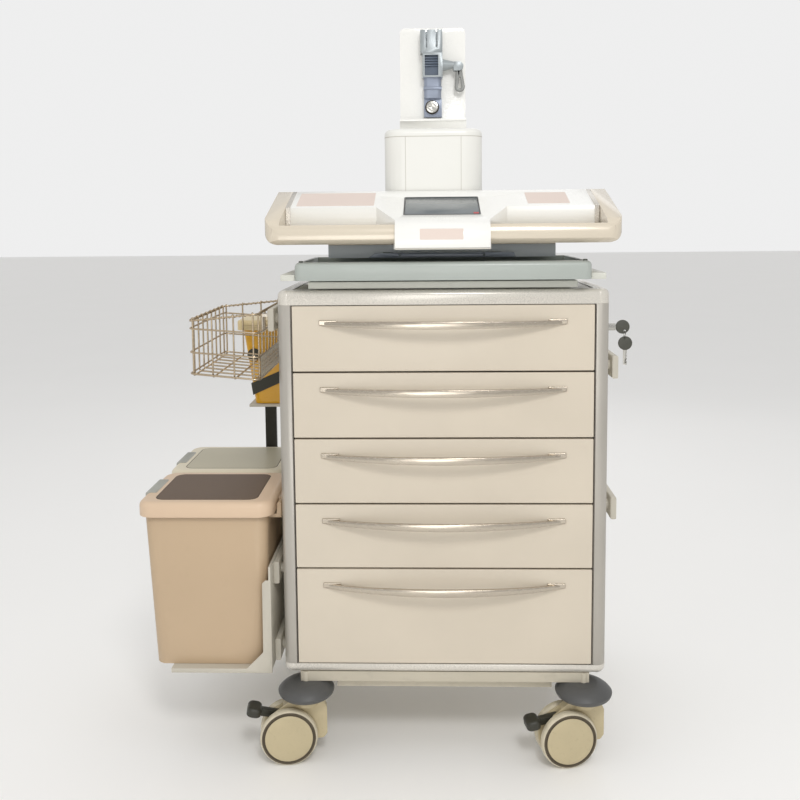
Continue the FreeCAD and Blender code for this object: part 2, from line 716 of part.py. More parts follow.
def column_housing():
    """A tall round-cornered shell behind the console, closed by a shallow domed cap."""
    x = (COLUMN_X - COLUMN_HALF, COLUMN_X + COLUMN_HALF)
    outer = rounded(box(x, (COLUMN_FRONT, COLUMN_BACK), (RISER_HIGH, COLUMN_HIGH)), COLUMN_RADIUS, "Z")
    inner = rounded(box((x[0] + SHELL, x[1] - SHELL), (COLUMN_FRONT + SHELL, COLUMN_BACK - SHELL),
                        (RISER_HIGH - 1, COLUMN_HIGH - SHELL)), COLUMN_RADIUS - SHELL, "Z")
    return outer.cut(inner)


def column_cap():
    x = (COLUMN_X - COLUMN_HALF, COLUMN_X + COLUMN_HALF)
    cap = rounded(box(x, (COLUMN_FRONT, COLUMN_BACK), (COLUMN_HIGH, CAP_HIGH)), COLUMN_RADIUS, "Z")
    return rounded_rim(cap, 12.0, CAP_HIGH)


def monitor_bracket():
    """A neck, a shelf and an upright plate for a screen."""
    x = (COLUMN_X - BRACKET_HALF, COLUMN_X + BRACKET_HALF)
    neck = box(x, (NECK_FRONT, NECK_BACK), (CAP_HIGH, SHELF_HIGH - PLATE_THICK))
    shelf = box(x, (NECK_FRONT - 3, PLATE_FRONT + PLATE_THICK), (SHELF_HIGH - PLATE_THICK, SHELF_HIGH))
    plate = box(x, (PLATE_FRONT, PLATE_FRONT + PLATE_THICK), (SHELF_HIGH, PLATE_HIGH))
    plate = rounded(plate, PLATE_RADIUS, "Y", lambda m: m.z > PLATE_HIGH - 1)
    return joined([neck, shelf, plate])


def clamp_head():
    """The slotted head of the clamp, and the frame round its ribbed block."""
    left, right = CLAMP_X - 26, CLAMP_X + 26
    window = (CLAMP_X - 16, CLAMP_X + 16)
    head = box((left, right), (CLAMP_FRONT + 4, PLATE_FRONT), (1576, 1629))
    slots = [box((x - 2, x + 2), (CLAMP_FRONT, PLATE_FRONT - 8), (1588, 1630))
             for x in (CLAMP_X - 12, CLAMP_X + 12)]
    frame = box((left + 5, right), (CLAMP_FRONT, PLATE_FRONT), (1519, 1576))
    opening = box(window, (CLAMP_FRONT - 1, CLAMP_FRONT + 10), (1523, 1570))
    ribs = [box(window, (CLAMP_FRONT + 6, CLAMP_FRONT + 12), (z, z + 3)) for z in range(1545, 1568, 6)]
    return [head.cut(slots), frame.cut(opening)] + ribs


def clamp_foot():
    """The rounded waist with its bead, and the foot with the seat of the knob."""
    left, right = CLAMP_X - 18, CLAMP_X + 23
    waist = box((left, right), (CLAMP_FRONT + 8, PLATE_FRONT), (1471, 1519))
    waist = rounded(waist, 9.0, "Z", lambda m: m.y < PLATE_FRONT - 1)
    bead = box((left - 1, right + 1), (CLAMP_FRONT + 6, PLATE_FRONT), (1491, 1498))
    foot = box((left, right + 1), (CLAMP_FRONT + 16, PLATE_FRONT), (1428, 1471))
    x = CLAMP_X + 1
    socket = rod((x, CLAMP_FRONT + 10, KNOB_Z), (x, PLATE_FRONT - 14, KNOB_Z), 6.0 + FIT)
    seat = rod((x, CLAMP_FRONT + 12, KNOB_Z), (x, PLATE_FRONT - 4, KNOB_Z), 17.5)
    return [waist, bead, joined([foot, seat]).cut(socket)]


def clamp_elbow():
    """The tapered shaft at the side of the clamp, and the round fork that holds the lever."""
    x, z = LEVER_PIVOT
    y = (CLAMP_FRONT + PLATE_FRONT) / 2
    start = CLAMP_X + 26
    parts = [Part.makeCone(14.0, 8.0, x - 12 - start, V(start, y, z + 5), V(1, 0, 0))]
    parts.append(box((x - 13, x - 9), (y - 9, y + 9), (z - 9, z + 12)))
    for side in (-9.0, 4.5):
        across_y = (y + side, y + side + 4.5)
        parts.append(box((x - 13, x), across_y, (z - 9, z + 12)))
        parts.append(rod((x, across_y[0], z + 1.5), (x, across_y[1], z + 1.5), 10.5))
    parts.append(rod((x, y - 9, z), (x, y + 9, z), 2.5))
    return parts


def clamp_body():
    """The fixed clamp: a slotted head, a frame round a ribbed block, a stepped foot and a side shaft."""
    return joined(clamp_head() + clamp_foot() + clamp_elbow())


def clamp_lever():
    """A teardrop lever that hangs from its pin and swings out."""
    x, z = LEVER_PIVOT
    y = (CLAMP_FRONT + PLATE_FRONT) / 2
    top = rod((x, y - 4, z), (x, y + 4, z), 7.5)
    end = rod((x + 2, y - 4, z - 46), (x + 2, y + 4, z - 46), 12.0)
    sides = prism([(x - 6, z), (x + 6, z), (x + 14, z - 46), (x - 10, z - 46)], "Y", y - 4, y + 4)
    hole = rod((x + 2, y - 5, z - 46), (x + 2, y + 5, z - 46), 3.8)
    wedge = [(x + 0.8, z - 24), (x + 3.2, z - 24), (x + 5.8, z - 46), (x - 1.8, z - 46)]
    slot = prism(wedge, "Y", y - 5, y + 5)
    pin = rod((x, y - 5, z), (x, y + 5, z), 2.5 + FIT)
    return joined([top, end, sides]).cut([hole, slot, pin])


def clamp_knob():
    """A round screw knob with a cross slot."""
    x = CLAMP_X + 1
    face = CLAMP_FRONT + 2
    knob = rod((x, face, KNOB_Z), (x, CLAMP_FRONT + 11.5, KNOB_Z), 13.5)
    stem = rod((x, CLAMP_FRONT + 11, KNOB_Z), (x, PLATE_FRONT - 16, KNOB_Z), 6.0)
    slots = [box((x - a, x + a), (face - 1, face + 3), (KNOB_Z - b, KNOB_Z + b))
             for a, b in ((8, 1.2), (1.2, 8))]
    return joined([knob, stem]).cut(slots)


# Bins

def bin_body(front):
    """A tapered bin with rounded corners, open at the top under its lid."""
    far = front + BIN_DEEP
    top = (BIN_LEFT, BIN_RIGHT, front, far)
    low = (BIN_LEFT + BIN_TAPER_X, BIN_RIGHT - BIN_TAPER_X / 2, front + BIN_TAPER_Y, far - BIN_TAPER_Y)
    wall = BIN_WALL
    inner_top = (top[0] + wall, top[1] - wall, top[2] + wall, top[3] - wall)
    inner_low = (low[0] + wall, low[1] - wall, low[2] + wall, low[3] - wall)
    outer = loft(low, top, BIN_LOW, LID_LOW - 1, BIN_RADIUS)
    inner = loft(inner_low, inner_top, BIN_LOW + wall, LID_LOW, BIN_RADIUS - wall)
    hinge_y = ((front + 40, front + 74), (far - 74, far - 40))
    ears = [box((BIN_RIGHT - 1, LID_HINGE_X - 5), y, (LID_LOW - 16, LID_LOW - 8)) for y in hinge_y]
    posts = [box((LID_HINGE_X - 5, LID_HINGE_X + 5), y, (LID_LOW - 16, LID_HINGE_Z)) for y in hinge_y]
    axis = (LID_HINGE_X, LID_HINGE_Z)
    knuckles = [rod((axis[0], y[0], axis[1]), (axis[0], y[1], axis[1]), 5.0) for y in hinge_y]
    pin = rod((axis[0], hinge_y[0][1], axis[1]), (axis[0], hinge_y[1][0], axis[1]), LID_PIN)
    return joined([outer.cut(inner)] + ears + posts + knuckles + [pin])


def bin_lid(front):
    """A shallow lid that is hollow underneath, hinged on the side next to the cabinet."""
    far = front + LID_DEEP
    outer = rounded(box((LID_LEFT, LID_RIGHT), (front, far), (LID_LOW, LID_HIGH)), LID_RADIUS, "Z")
    outer = rounded_rim(outer, 13.0, LID_HIGH)
    wall = BIN_WALL + 1
    inner = rounded(box((LID_LEFT + wall, LID_RIGHT - wall), (front + wall, far - wall),
                        (LID_LOW - 1, LID_HIGH - 8)), LID_RADIUS - wall, "Z")
    hinge = LID_HINGE_X
    middle = (front + far) / 2
    tongue = box((LID_RIGHT - 3, hinge + 5), (middle - 33, middle + 33), (LID_HINGE_Z - 5, LID_HINGE_Z + 5))
    hole = rod((hinge, front, LID_HINGE_Z), (hinge, far, LID_HINGE_Z), LID_PIN + FIT)
    latch = box((LID_LEFT, LID_LEFT + 26), (middle - 50, middle + 50), (LID_HIGH - 14, LID_HIGH + 2))
    latch = rounded(latch, 5.0, "Y", lambda m: m.z > LID_HIGH)
    return joined([outer.cut(inner), tongue.cut(hole), latch])


def bin_carrier():
    """A folded sheet bracket that hangs on the two lower left rails and holds both bins up."""
    plate = box((CARRIER_LEFT, CARRIER_INNER), (0, CARRIER_BACK), (204, 207))
    lip = box((CARRIER_LEFT, CARRIER_INNER), (0, 3), (197, 207))
    back = box((CARRIER_OUTER, CARRIER_INNER), (0, 500), (204, CARRIER_TOP))
    outline = [(-377, 204), (-436, 204), (-396, 244), (-395, 400), (-388, 407), (-377, 407)]
    flanges = [prism(outline, "Y", y, y + 3) for y in (0, 497)]
    return joined([plate, lip, back] + flanges)


def bins():
    nodes = {}
    for number, name in enumerate(("front", "rear")):
        shift = number * BIN_PITCH
        nodes[f"{name}_bin_body"] = bin_body(BIN_FRONT + shift)
        nodes[f"{name}_bin_lid"] = bin_lid(LID_FRONT + shift)
    nodes["bin_carrier"] = bin_carrier()
    return nodes


# Basket and sharps box

def basket_level(number, x):
    """The height of one of the basket's wire levels, which slopes across the basket."""
    left, right = BASKET_LEVELS_LEFT[number], BASKET_LEVELS_RIGHT[number]
    return left + (right - left) * (x - BASKET_LEFT) / (BASKET_RIGHT - BASKET_LEFT)


def wire_loop(number):
    """A wire round the basket at one level: four straight runs with a bend at each corner."""
    radius = BASKET_RADIUS
    x0, x1, y0, y1 = BASKET_LEFT, BASKET_RIGHT, BASKET_NEAR, BASKET_FAR
    runs = [((x0 + radius, y), (x1 - radius, y)) for y in (y0, y1)]
    runs += [((x, y0 + radius), (x, y1 - radius)) for x in (x0, x1)]
    wires = [rod((*start, 0), (*end, 0), WIRE) for start, end in runs]
    near_x, far_x, near_y, far_y = x0 + radius, x1 - radius, y0 + radius, y1 - radius
    for turn, (x, y) in enumerate(((near_x, near_y), (far_x, near_y), (far_x, far_y), (near_x, far_y))):
        bend = Part.makeTorus(radius, WIRE, V(0, 0, 0), V(0, 0, 1), -180, 180, 90)
        bend.rotate(V(0, 0, 0), V(0, 0, 1), 180 + 90 * turn)
        bend.translate(V(x, y, 0))
        wires.append(bend)
    loop = Part.makeCompound(wires)
    rise = BASKET_LEVELS_RIGHT[number] - BASKET_LEVELS_LEFT[number]
    loop.rotate(V(BASKET_LEFT, 0, 0), V(0, 1, 0), -math.degrees(math.atan2(rise, x1 - x0)))
    loop.translate(V(0, 0, BASKET_LEVELS_LEFT[number]))
    return loop


def basket():
    """Wires round four levels, uprights inside them, floor wires, and a sheet end next to the cabinet."""
    wires = [wire_loop(number) for number in range(len(BASKET_LEVELS_LEFT))]
    inset = 2 * WIRE
    for x in BASKET_UPRIGHTS:
        for y in (BASKET_NEAR + inset, BASKET_FAR - inset):
            wires.append(rod((x, y, basket_level(3, x) - WIRE), (x, y, basket_level(0, x) + WIRE), WIRE))
    pitch = (BASKET_FAR - BASKET_NEAR - 48) / (BASKET_FLOOR_WIRES - 1)
    for number in range(BASKET_FLOOR_WIRES):
        y = BASKET_NEAR + 24 + number * pitch
        low, high = basket_level(3, BASKET_LEFT), basket_level(0, BASKET_LEFT)
        x = BASKET_LEFT + inset
        wires.append(rod((x, y, low - 2 * WIRE), (x, y, high + WIRE), WIRE))
        end = BASKET_RIGHT - inset
        drop = basket_level(3, BASKET_RIGHT) - low
        wires.append(rod((x, y, low - 2 * WIRE), (end, y, low + drop - 2 * WIRE), WIRE))
    sheet = box((BASKET_RIGHT - 1, BASKET_RIGHT + 1), (BASKET_NEAR + 20, BASKET_FAR - 20), (866, 985))
    hooks = [box((BASKET_RIGHT, LEFT_RAIL_FACE - 0.5), (y, y + 24), (978, 984)) for y in (50, 264)]
    return group([joined([sheet] + hooks)] + wires)


def sharps_container():
    far, near = SHARPS_FAR, SHARPS_NEAR
    top = (SHARPS_LEFT, SHARPS_RIGHT, near, far)
    low = (SHARPS_LEFT + SHARPS_TAPER, SHARPS_RIGHT - 4, near + 8, far - 8)
    wall = SHARPS_WALL
    outer = loft(low, top, SHARPS_LOW, SHARPS_HIGH, 12.0)
    inner_low = (low[0] + wall, low[1] - wall, low[2] + wall, low[3] - wall)
    inner_top = (top[0] + wall, top[1] - wall, top[2] + wall, top[3] - wall)
    return outer.cut(loft(inner_low, inner_top, SHARPS_LOW + wall, SHARPS_HIGH + 1, 12.0 - wall))


def sharps_lid():
    x = (SHARPS_LEFT - 15, SHARPS_RIGHT + 1)
    y = (SHARPS_NEAR - 6, SHARPS_FAR + 6)
    lid = rounded(box(x, y, (SHARPS_HIGH + 0.5, SHARPS_LID_HIGH)), 14.0, "Z")
    lid = rounded_rim(lid, 6.0, SHARPS_LID_HIGH)
    hollow = box((x[0] + 8, x[1] - 8), (y[0] + 8, y[1] - 8), (SHARPS_HIGH, SHARPS_LID_HIGH - 4))
    return lid.cut(hollow)


def sharps_holder():
    """A back plate on the top left rail, a base plate under the sharps box and a black stay below it."""
    outer = LEFT_RAIL_FACE - 5
    back = box((outer, LEFT_RAIL_FACE - 0.5), (SHARPS_NEAR, SHARPS_FAR), (SHARPS_LOW - 7, 990))
    base = box((SHARPS_LEFT + 12, outer + 1), (SHARPS_NEAR - 4, POST_Y[1]),
               (SHARPS_LOW - 7, SHARPS_LOW - 0.5))
    stay = box(POST_X, POST_Y, (207, SHARPS_LOW - 7))
    return joined([back, base, stay])


# Lock and keys

def lock_barrel():
    start = WIDTH / 2 - PANEL_INSET - PANEL - 6
    face = WIDTH / 2 - PANEL_INSET
    barrel = rod((start, LOCK_Y, LOCK_Z), (LOCK_END, LOCK_Y, LOCK_Z), 7.9)
    flange = rod((face, LOCK_Y, LOCK_Z), (face + 3, LOCK_Y, LOCK_Z), 11.0)
    bore = rod((face, LOCK_Y, LOCK_Z), (LOCK_END + 1, LOCK_Y, LOCK_Z), 4.9)
    return joined([barrel, flange]).cut(bore)


def key():
    """A key with a round head, in the lock, with a hole for the ring."""
    half = KEY_THICK / 2
    bow = rod((KEY_X, LOCK_Y - half, LOCK_Z), (KEY_X, LOCK_Y + half, LOCK_Z), BOW_RADIUS)
    shank = box((LOCK_END - 20, KEY_X - 8), (LOCK_Y - 1, LOCK_Y + 1), (LOCK_Z - 4, LOCK_Z + 4))
    x, z = KEY_HOLE
    return joined([bow, shank]).cut(rod((x, LOCK_Y - 5, z), (x, LOCK_Y + 5, z), 2.6))


def spare_key():
    """A second key that hangs from the first on a wire ring."""
    half = KEY_THICK / 2
    x, z = KEY_HOLE
    ring_z = z - RING_RADIUS
    low_z = ring_z - RING_RADIUS
    middle = low_z - 10.5
    ring = Part.makeTorus(RING_RADIUS, RING_WIRE, V(x, LOCK_Y, ring_z), V(1, 0, 0))
    bow = rod((x + 1, LOCK_Y - half, middle), (x + 1, LOCK_Y + half, middle), BOW_RADIUS)
    blade = box((x - 3, x + 5), (LOCK_Y - 1, LOCK_Y + 1), (middle - 47, middle - 13))
    cuts = [rod((x + 5.6, LOCK_Y - 2, middle - 24 - 7 * n), (x + 5.6, LOCK_Y + 2, middle - 24 - 7 * n), 2.0)
            for n in range(3)]
    cuts.append(rod((x, LOCK_Y - 5, low_z), (x, LOCK_Y + 5, low_z), RING_WIRE))
    key_shape = joined([bow, blade]).cut(cuts)
    return group([key_shape, ring])


def build():
    """Every piece by name, in place, and the move that brings the origin to the middle of the trolley."""
    nodes = {
        "corner_posts": corner_posts(),
        "drawer_runners": drawer_runners(),
        "base_frame": base_frame(),
        "castor_bumpers": castor_bumpers(),
        "side_rails": side_rails(),
        "tray_base": tray_base(),
        "keyboard_tray": keyboard_tray(),
        "riser_box": joined([riser(), bolt_plate()]),
        "worktop": worktop(),
        "console_housing": console_housing(),
        "display": display(),
        "column_housing": group([column_housing(), column_cap()]),
        "monitor_bracket": monitor_bracket(),
        "clamp_body": clamp_body(),
        "clamp_lever": clamp_lever(),
        "clamp_knob": clamp_knob(),
        "basket": basket(),
        "sharps_container": sharps_container(),
        "sharps_lid": sharps_lid(),
        "sharps_holder": sharps_holder(),
        "lock_barrel": lock_barrel(),
        "key": key(),
        "spare_key": spare_key(),
    }
    for more in (frame_rings(), cabinet_panels(), drawers(), castors(), bins()):
        nodes.update(more)
    whole = FreeCAD.BoundBox()
    for shape in nodes.values():
        whole.add(shape.optimalBoundingBox())
    shift = V(-(whole.XMin + whole.XMax) / 2, -(whole.YMin + whole.YMax) / 2, -whole.ZMin)
    return nodes, shift


def main():
    os.makedirs("parts", exist_ok=True)
    nodes, shift = build()
    for name, shape in nodes.items():
        shape.translate(shift)
        shape.exportStep(f"parts/{name}.step")
    print(len(nodes), "parts, moved by", tuple(round(v, 3) for v in shift))


main()
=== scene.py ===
import math

import bpy
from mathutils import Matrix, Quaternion, Vector


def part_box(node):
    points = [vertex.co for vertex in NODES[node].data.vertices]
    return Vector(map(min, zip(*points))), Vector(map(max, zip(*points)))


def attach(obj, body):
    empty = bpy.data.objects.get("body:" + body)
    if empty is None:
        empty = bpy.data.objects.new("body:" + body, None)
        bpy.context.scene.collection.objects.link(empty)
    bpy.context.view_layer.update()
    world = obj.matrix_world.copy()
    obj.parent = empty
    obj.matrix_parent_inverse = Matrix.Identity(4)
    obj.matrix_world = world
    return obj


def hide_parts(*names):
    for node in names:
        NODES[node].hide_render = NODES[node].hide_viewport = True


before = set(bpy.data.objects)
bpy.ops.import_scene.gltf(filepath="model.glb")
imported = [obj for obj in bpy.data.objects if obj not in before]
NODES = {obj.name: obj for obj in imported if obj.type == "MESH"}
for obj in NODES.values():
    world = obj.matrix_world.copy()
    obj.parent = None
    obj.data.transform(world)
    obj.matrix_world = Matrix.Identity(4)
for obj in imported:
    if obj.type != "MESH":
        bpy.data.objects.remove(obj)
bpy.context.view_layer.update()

# A medical workstation trolley. Lengths below are millimetres in the cabinet's own axes: x = 0 is its
# middle, y = 0 its front and z = 0 the floor. They are turned into the frame's metres by place().
MM = 0.001
CABINET_MIDDLE = (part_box("top_panel")[0][0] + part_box("top_panel")[1][0]) / 2
CABINET_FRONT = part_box("drawer_1_front")[0][1]
CABINET_HALF = 350.0
CABINET_DEPTH = 520.0
POST = 29.0

# Drawers: how far a handle is below its front's top, and how far out its feet start and end
DRAWERS = 5
HANDLE_DOWN = 38.0
HANDLE_FOOT = (222.0, 261.0)

# Castors: the swivel's place and the way each castor points, then sizes of every castor
CASTORS = {
    "front_left": (-303.5, 10.0, 188.0),
    "front_right": (303.5, 10.0, 191.0),
    "rear_left": (-303.5, 510.0, 174.0),
    "rear_right": (303.5, 510.0, 166.0),
}
CASTOR_TRAIL = 40.0
WHEEL_RADIUS = 62.5
HUB_RADIUS = 51.3
RING_RADIUS = 58.8
RING_FROM_MIDDLE = 26.0
BUMPER_RECESS = 150.3

# Rail screws: the rails' outer face, the heights of the rails that show screws, and the screws' depths
RAIL_FACE = 375.4
LEFT_SCREW_RAILS = (972.0,)
RIGHT_SCREW_RAILS = (866.0, 556.0)
RAIL_SCREWS = (75.0, 260.0, 445.0)

# Console: the white housing's wall and the slope above it, the middle block's front, the depth of the
# display's middle, and half the width and length of the frame round the display
WALL_Y = 60.0
WALL_LOW = 1175.0
WALL_TOP = 1212.0
CONSOLE_TOP = 1250.0
SLOPE = 0.32
SLOPE_ANGLE = math.atan(SLOPE)
BLOCK_FRONT = -57.0
DISPLAY_Y = 67.0
SCREEN_HALF = (81.0, 65.0)

# Riser: its bolts are in front of this depth
BOLTS_BACK = 99.0

# Column: its middle, half width, front and back, corner radius, top and seams, then the clamp on it
COLUMN_X = -16.0
COLUMN_HALF = 113.0
COLUMN_Y = (202.0, 352.0)
COLUMN_RADIUS = 45.0
COLUMN_TOP = 1374.0
COLUMN_SEAMS = (-80.0, 47.0)
KNOB = (-18.0, 300.0, 1450.0)
CLAMP_FOOT_TOP = 1520.0
WINDOW_X = (-36.0, -2.0)
WINDOW_Z = (1521.0, 1572.0)
WINDOW_FRONT = 290.0

# Bin lids: the middle of the front one, how far behind it the rear one is, and the grip on them
LID_MIDDLE = 125.0
BIN_PITCH = 254.0
LATCH_PROUD = 2.0
LATCH_INNER = -640.5
LATCH_HALF = 50.5
LATCH_LOW = 565.5

# Basket: its wire levels at its two ends, its extent and corner radius, the uprights, how many wires
# cross its floor, the wires' radii, and the sheet and hooks at the cabinet's end
LEVELS_LEFT = (975.0, 959.0, 908.0, 862.0)
LEVELS_RIGHT = (989.0, 948.0, 896.0, 848.0)
BASKET_X = (-538.0, -390.0)
BASKET_Y = (2.0, 336.0)
BASKET_CORNER = 14.0
UPRIGHTS = (-531.0, -490.0, -444.0, -402.0)
FLOOR_WIRES = 8
WIRE = 2.0
THIN_WIRE = 1.9
WOUND_WIRE = 0.9
SHEET_X = -390.6
SHEET_Y = (22.0, 316.0)
HOOKS_Y = (50.0, 264.0)
HOOK_WIDTH = 24.0
HOOK_TOP = 984.0

# Sharps box: how far its left, front and right sides lean in over its height, the strap's height at its
# two ends, the buckle's place, and the top of the dark stay under the box
SHARPS_LEAN = (25.0, 8.0, 4.0)
STRAP_ENDS = (762.0, 800.0)
BUCKLE_X = -469.0
BUCKLE_Z = 850.0
STAY_TOP = 717.0

# Keys: the middles of their heads, and the heads' reach
KEY_HEADS = ((388.0, 951.0), (394.0, 915.5))
KEY_HEAD_REACH = 16.0

# The camera: lens, vertical shift, place in the cabinet's axes, and pitch, yaw and roll in degrees. They
# are fitted to the photograph's view.
LENS = 41.18
SHIFT_Y = -0.1146
CAMERA = (-29.0, -1911.9, 1183.8)
CAMERA_TURN = (5.5, -1.805, -0.528)


def place(x, y, z):
    """A point of the cabinet's axes in the frame's metres."""
    return Vector((CABINET_MIDDLE + x * MM, CABINET_FRONT + y * MM, z * MM))


def span(node):
    """A node's box at rest, in the cabinet's millimetres, as three (low, high) pairs."""
    low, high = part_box(node)
    offset = (CABINET_MIDDLE, CABINET_FRONT, 0.0)
    return [((low[i] - offset[i]) / MM, (high[i] - offset[i]) / MM) for i in range(3)]


# ---------------------------------------------------------------- materials

MATERIALS = {}


def linear(colour):
    """An sRGB colour, 0 to 255, as linear values."""
    out = []
    for part in colour:
        part /= 255.0
        out.append(part / 12.92 if part <= 0.04045 else ((part + 0.055) / 1.055) ** 2.4)
    return out


def surface(name, colour, rough=0.4, metal=0.0, mottle=0.05, mottle_scale=5.0, grain=0.1, grain_scale=900.0,
            stretch=(1, 1, 1), coat=0.0, rough_vary=0.08, specular=0.5, soil=0.0):
    """Makes a finish whose colour, gloss and fine relief all vary a little over the surface."""
    mat = bpy.data.materials.new(name)
    mat.use_nodes = True
    nodes, links = mat.node_tree.nodes, mat.node_tree.links
    shader = nodes["Principled BSDF"]
    shader.inputs["Metallic"].default_value = metal
    shader.inputs["Coat Weight"].default_value = coat
    shader.inputs["Coat Roughness"].default_value = 0.12
    shader.inputs["Specular IOR Level"].default_value = specular
    coords = nodes.new("ShaderNodeTexCoord")
    mapping = nodes.new("ShaderNodeMapping")
    mapping.inputs["Scale"].default_value = stretch
    links.new(coords.outputs["Object"], mapping.inputs["Vector"])

    broad = nodes.new("ShaderNodeTexNoise")
    broad.inputs["Scale"].default_value = mottle_scale
    broad.inputs["Detail"].default_value = 5.0
    links.new(coords.outputs["Object"], broad.inputs["Vector"])
    fine = nodes.new("ShaderNodeTexNoise")
    fine.inputs["Scale"].default_value = grain_scale
    fine.inputs["Detail"].default_value = 3.0
    links.new(mapping.outputs["Vector"], fine.inputs["Vector"])

    base = linear(colour)
    ramp = nodes.new("ShaderNodeValToRGB")
    ramp.color_ramp.elements[0].position = 0.3
    ramp.color_ramp.elements[1].position = 0.7
    ramp.color_ramp.elements[0].color = [c * (1 - mottle) for c in base] + [1]
    ramp.color_ramp.elements[1].color = [min(1, c * (1 + mottle)) for c in base] + [1]
    links.new(broad.outputs["Fac"], ramp.inputs["Fac"])
    colour_out = ramp.outputs["Color"]
    if soil:
        spots = nodes.new("ShaderNodeTexNoise")
        spots.inputs["Scale"].default_value = mottle_scale * 9
        spots.inputs["Detail"].default_value = 8.0
        links.new(coords.outputs["Object"], spots.inputs["Vector"])
        cut = nodes.new("ShaderNodeMapRange")
        cut.inputs["From Min"].default_value = 0.58
        cut.inputs["From Max"].default_value = 0.8
        cut.inputs["To Max"].default_value = soil
        links.new(spots.outputs["Fac"], cut.inputs["Value"])
        mix = nodes.new("ShaderNodeMix")
        mix.data_type = "RGBA"
        mix.inputs["B"].default_value = [c * 0.45 for c in base] + [1]
        links.new(cut.outputs["Result"], mix.inputs["Factor"])
        links.new(colour_out, mix.inputs["A"])
        colour_out = mix.outputs["Result"]
    links.new(colour_out, shader.inputs["Base Color"])

    gloss = nodes.new("ShaderNodeMapRange")
    gloss.inputs["From Min"].default_value = 0.3
    gloss.inputs["From Max"].default_value = 0.7
    gloss.inputs["To Min"].default_value = max(0.02, rough - rough_vary)
    gloss.inputs["To Max"].default_value = min(1.0, rough + rough_vary)
    links.new(fine.outputs["Fac"], gloss.inputs["Value"])
    links.new(gloss.outputs["Result"], shader.inputs["Roughness"])
    bump = nodes.new("ShaderNodeBump")
    bump.inputs["Strength"].default_value = grain
    bump.inputs["Distance"].default_value = 0.0006
    links.new(fine.outputs["Fac"], bump.inputs["Height"])
    links.new(bump.outputs["Normal"], shader.inputs["Normal"])
    MATERIALS[name] = mat


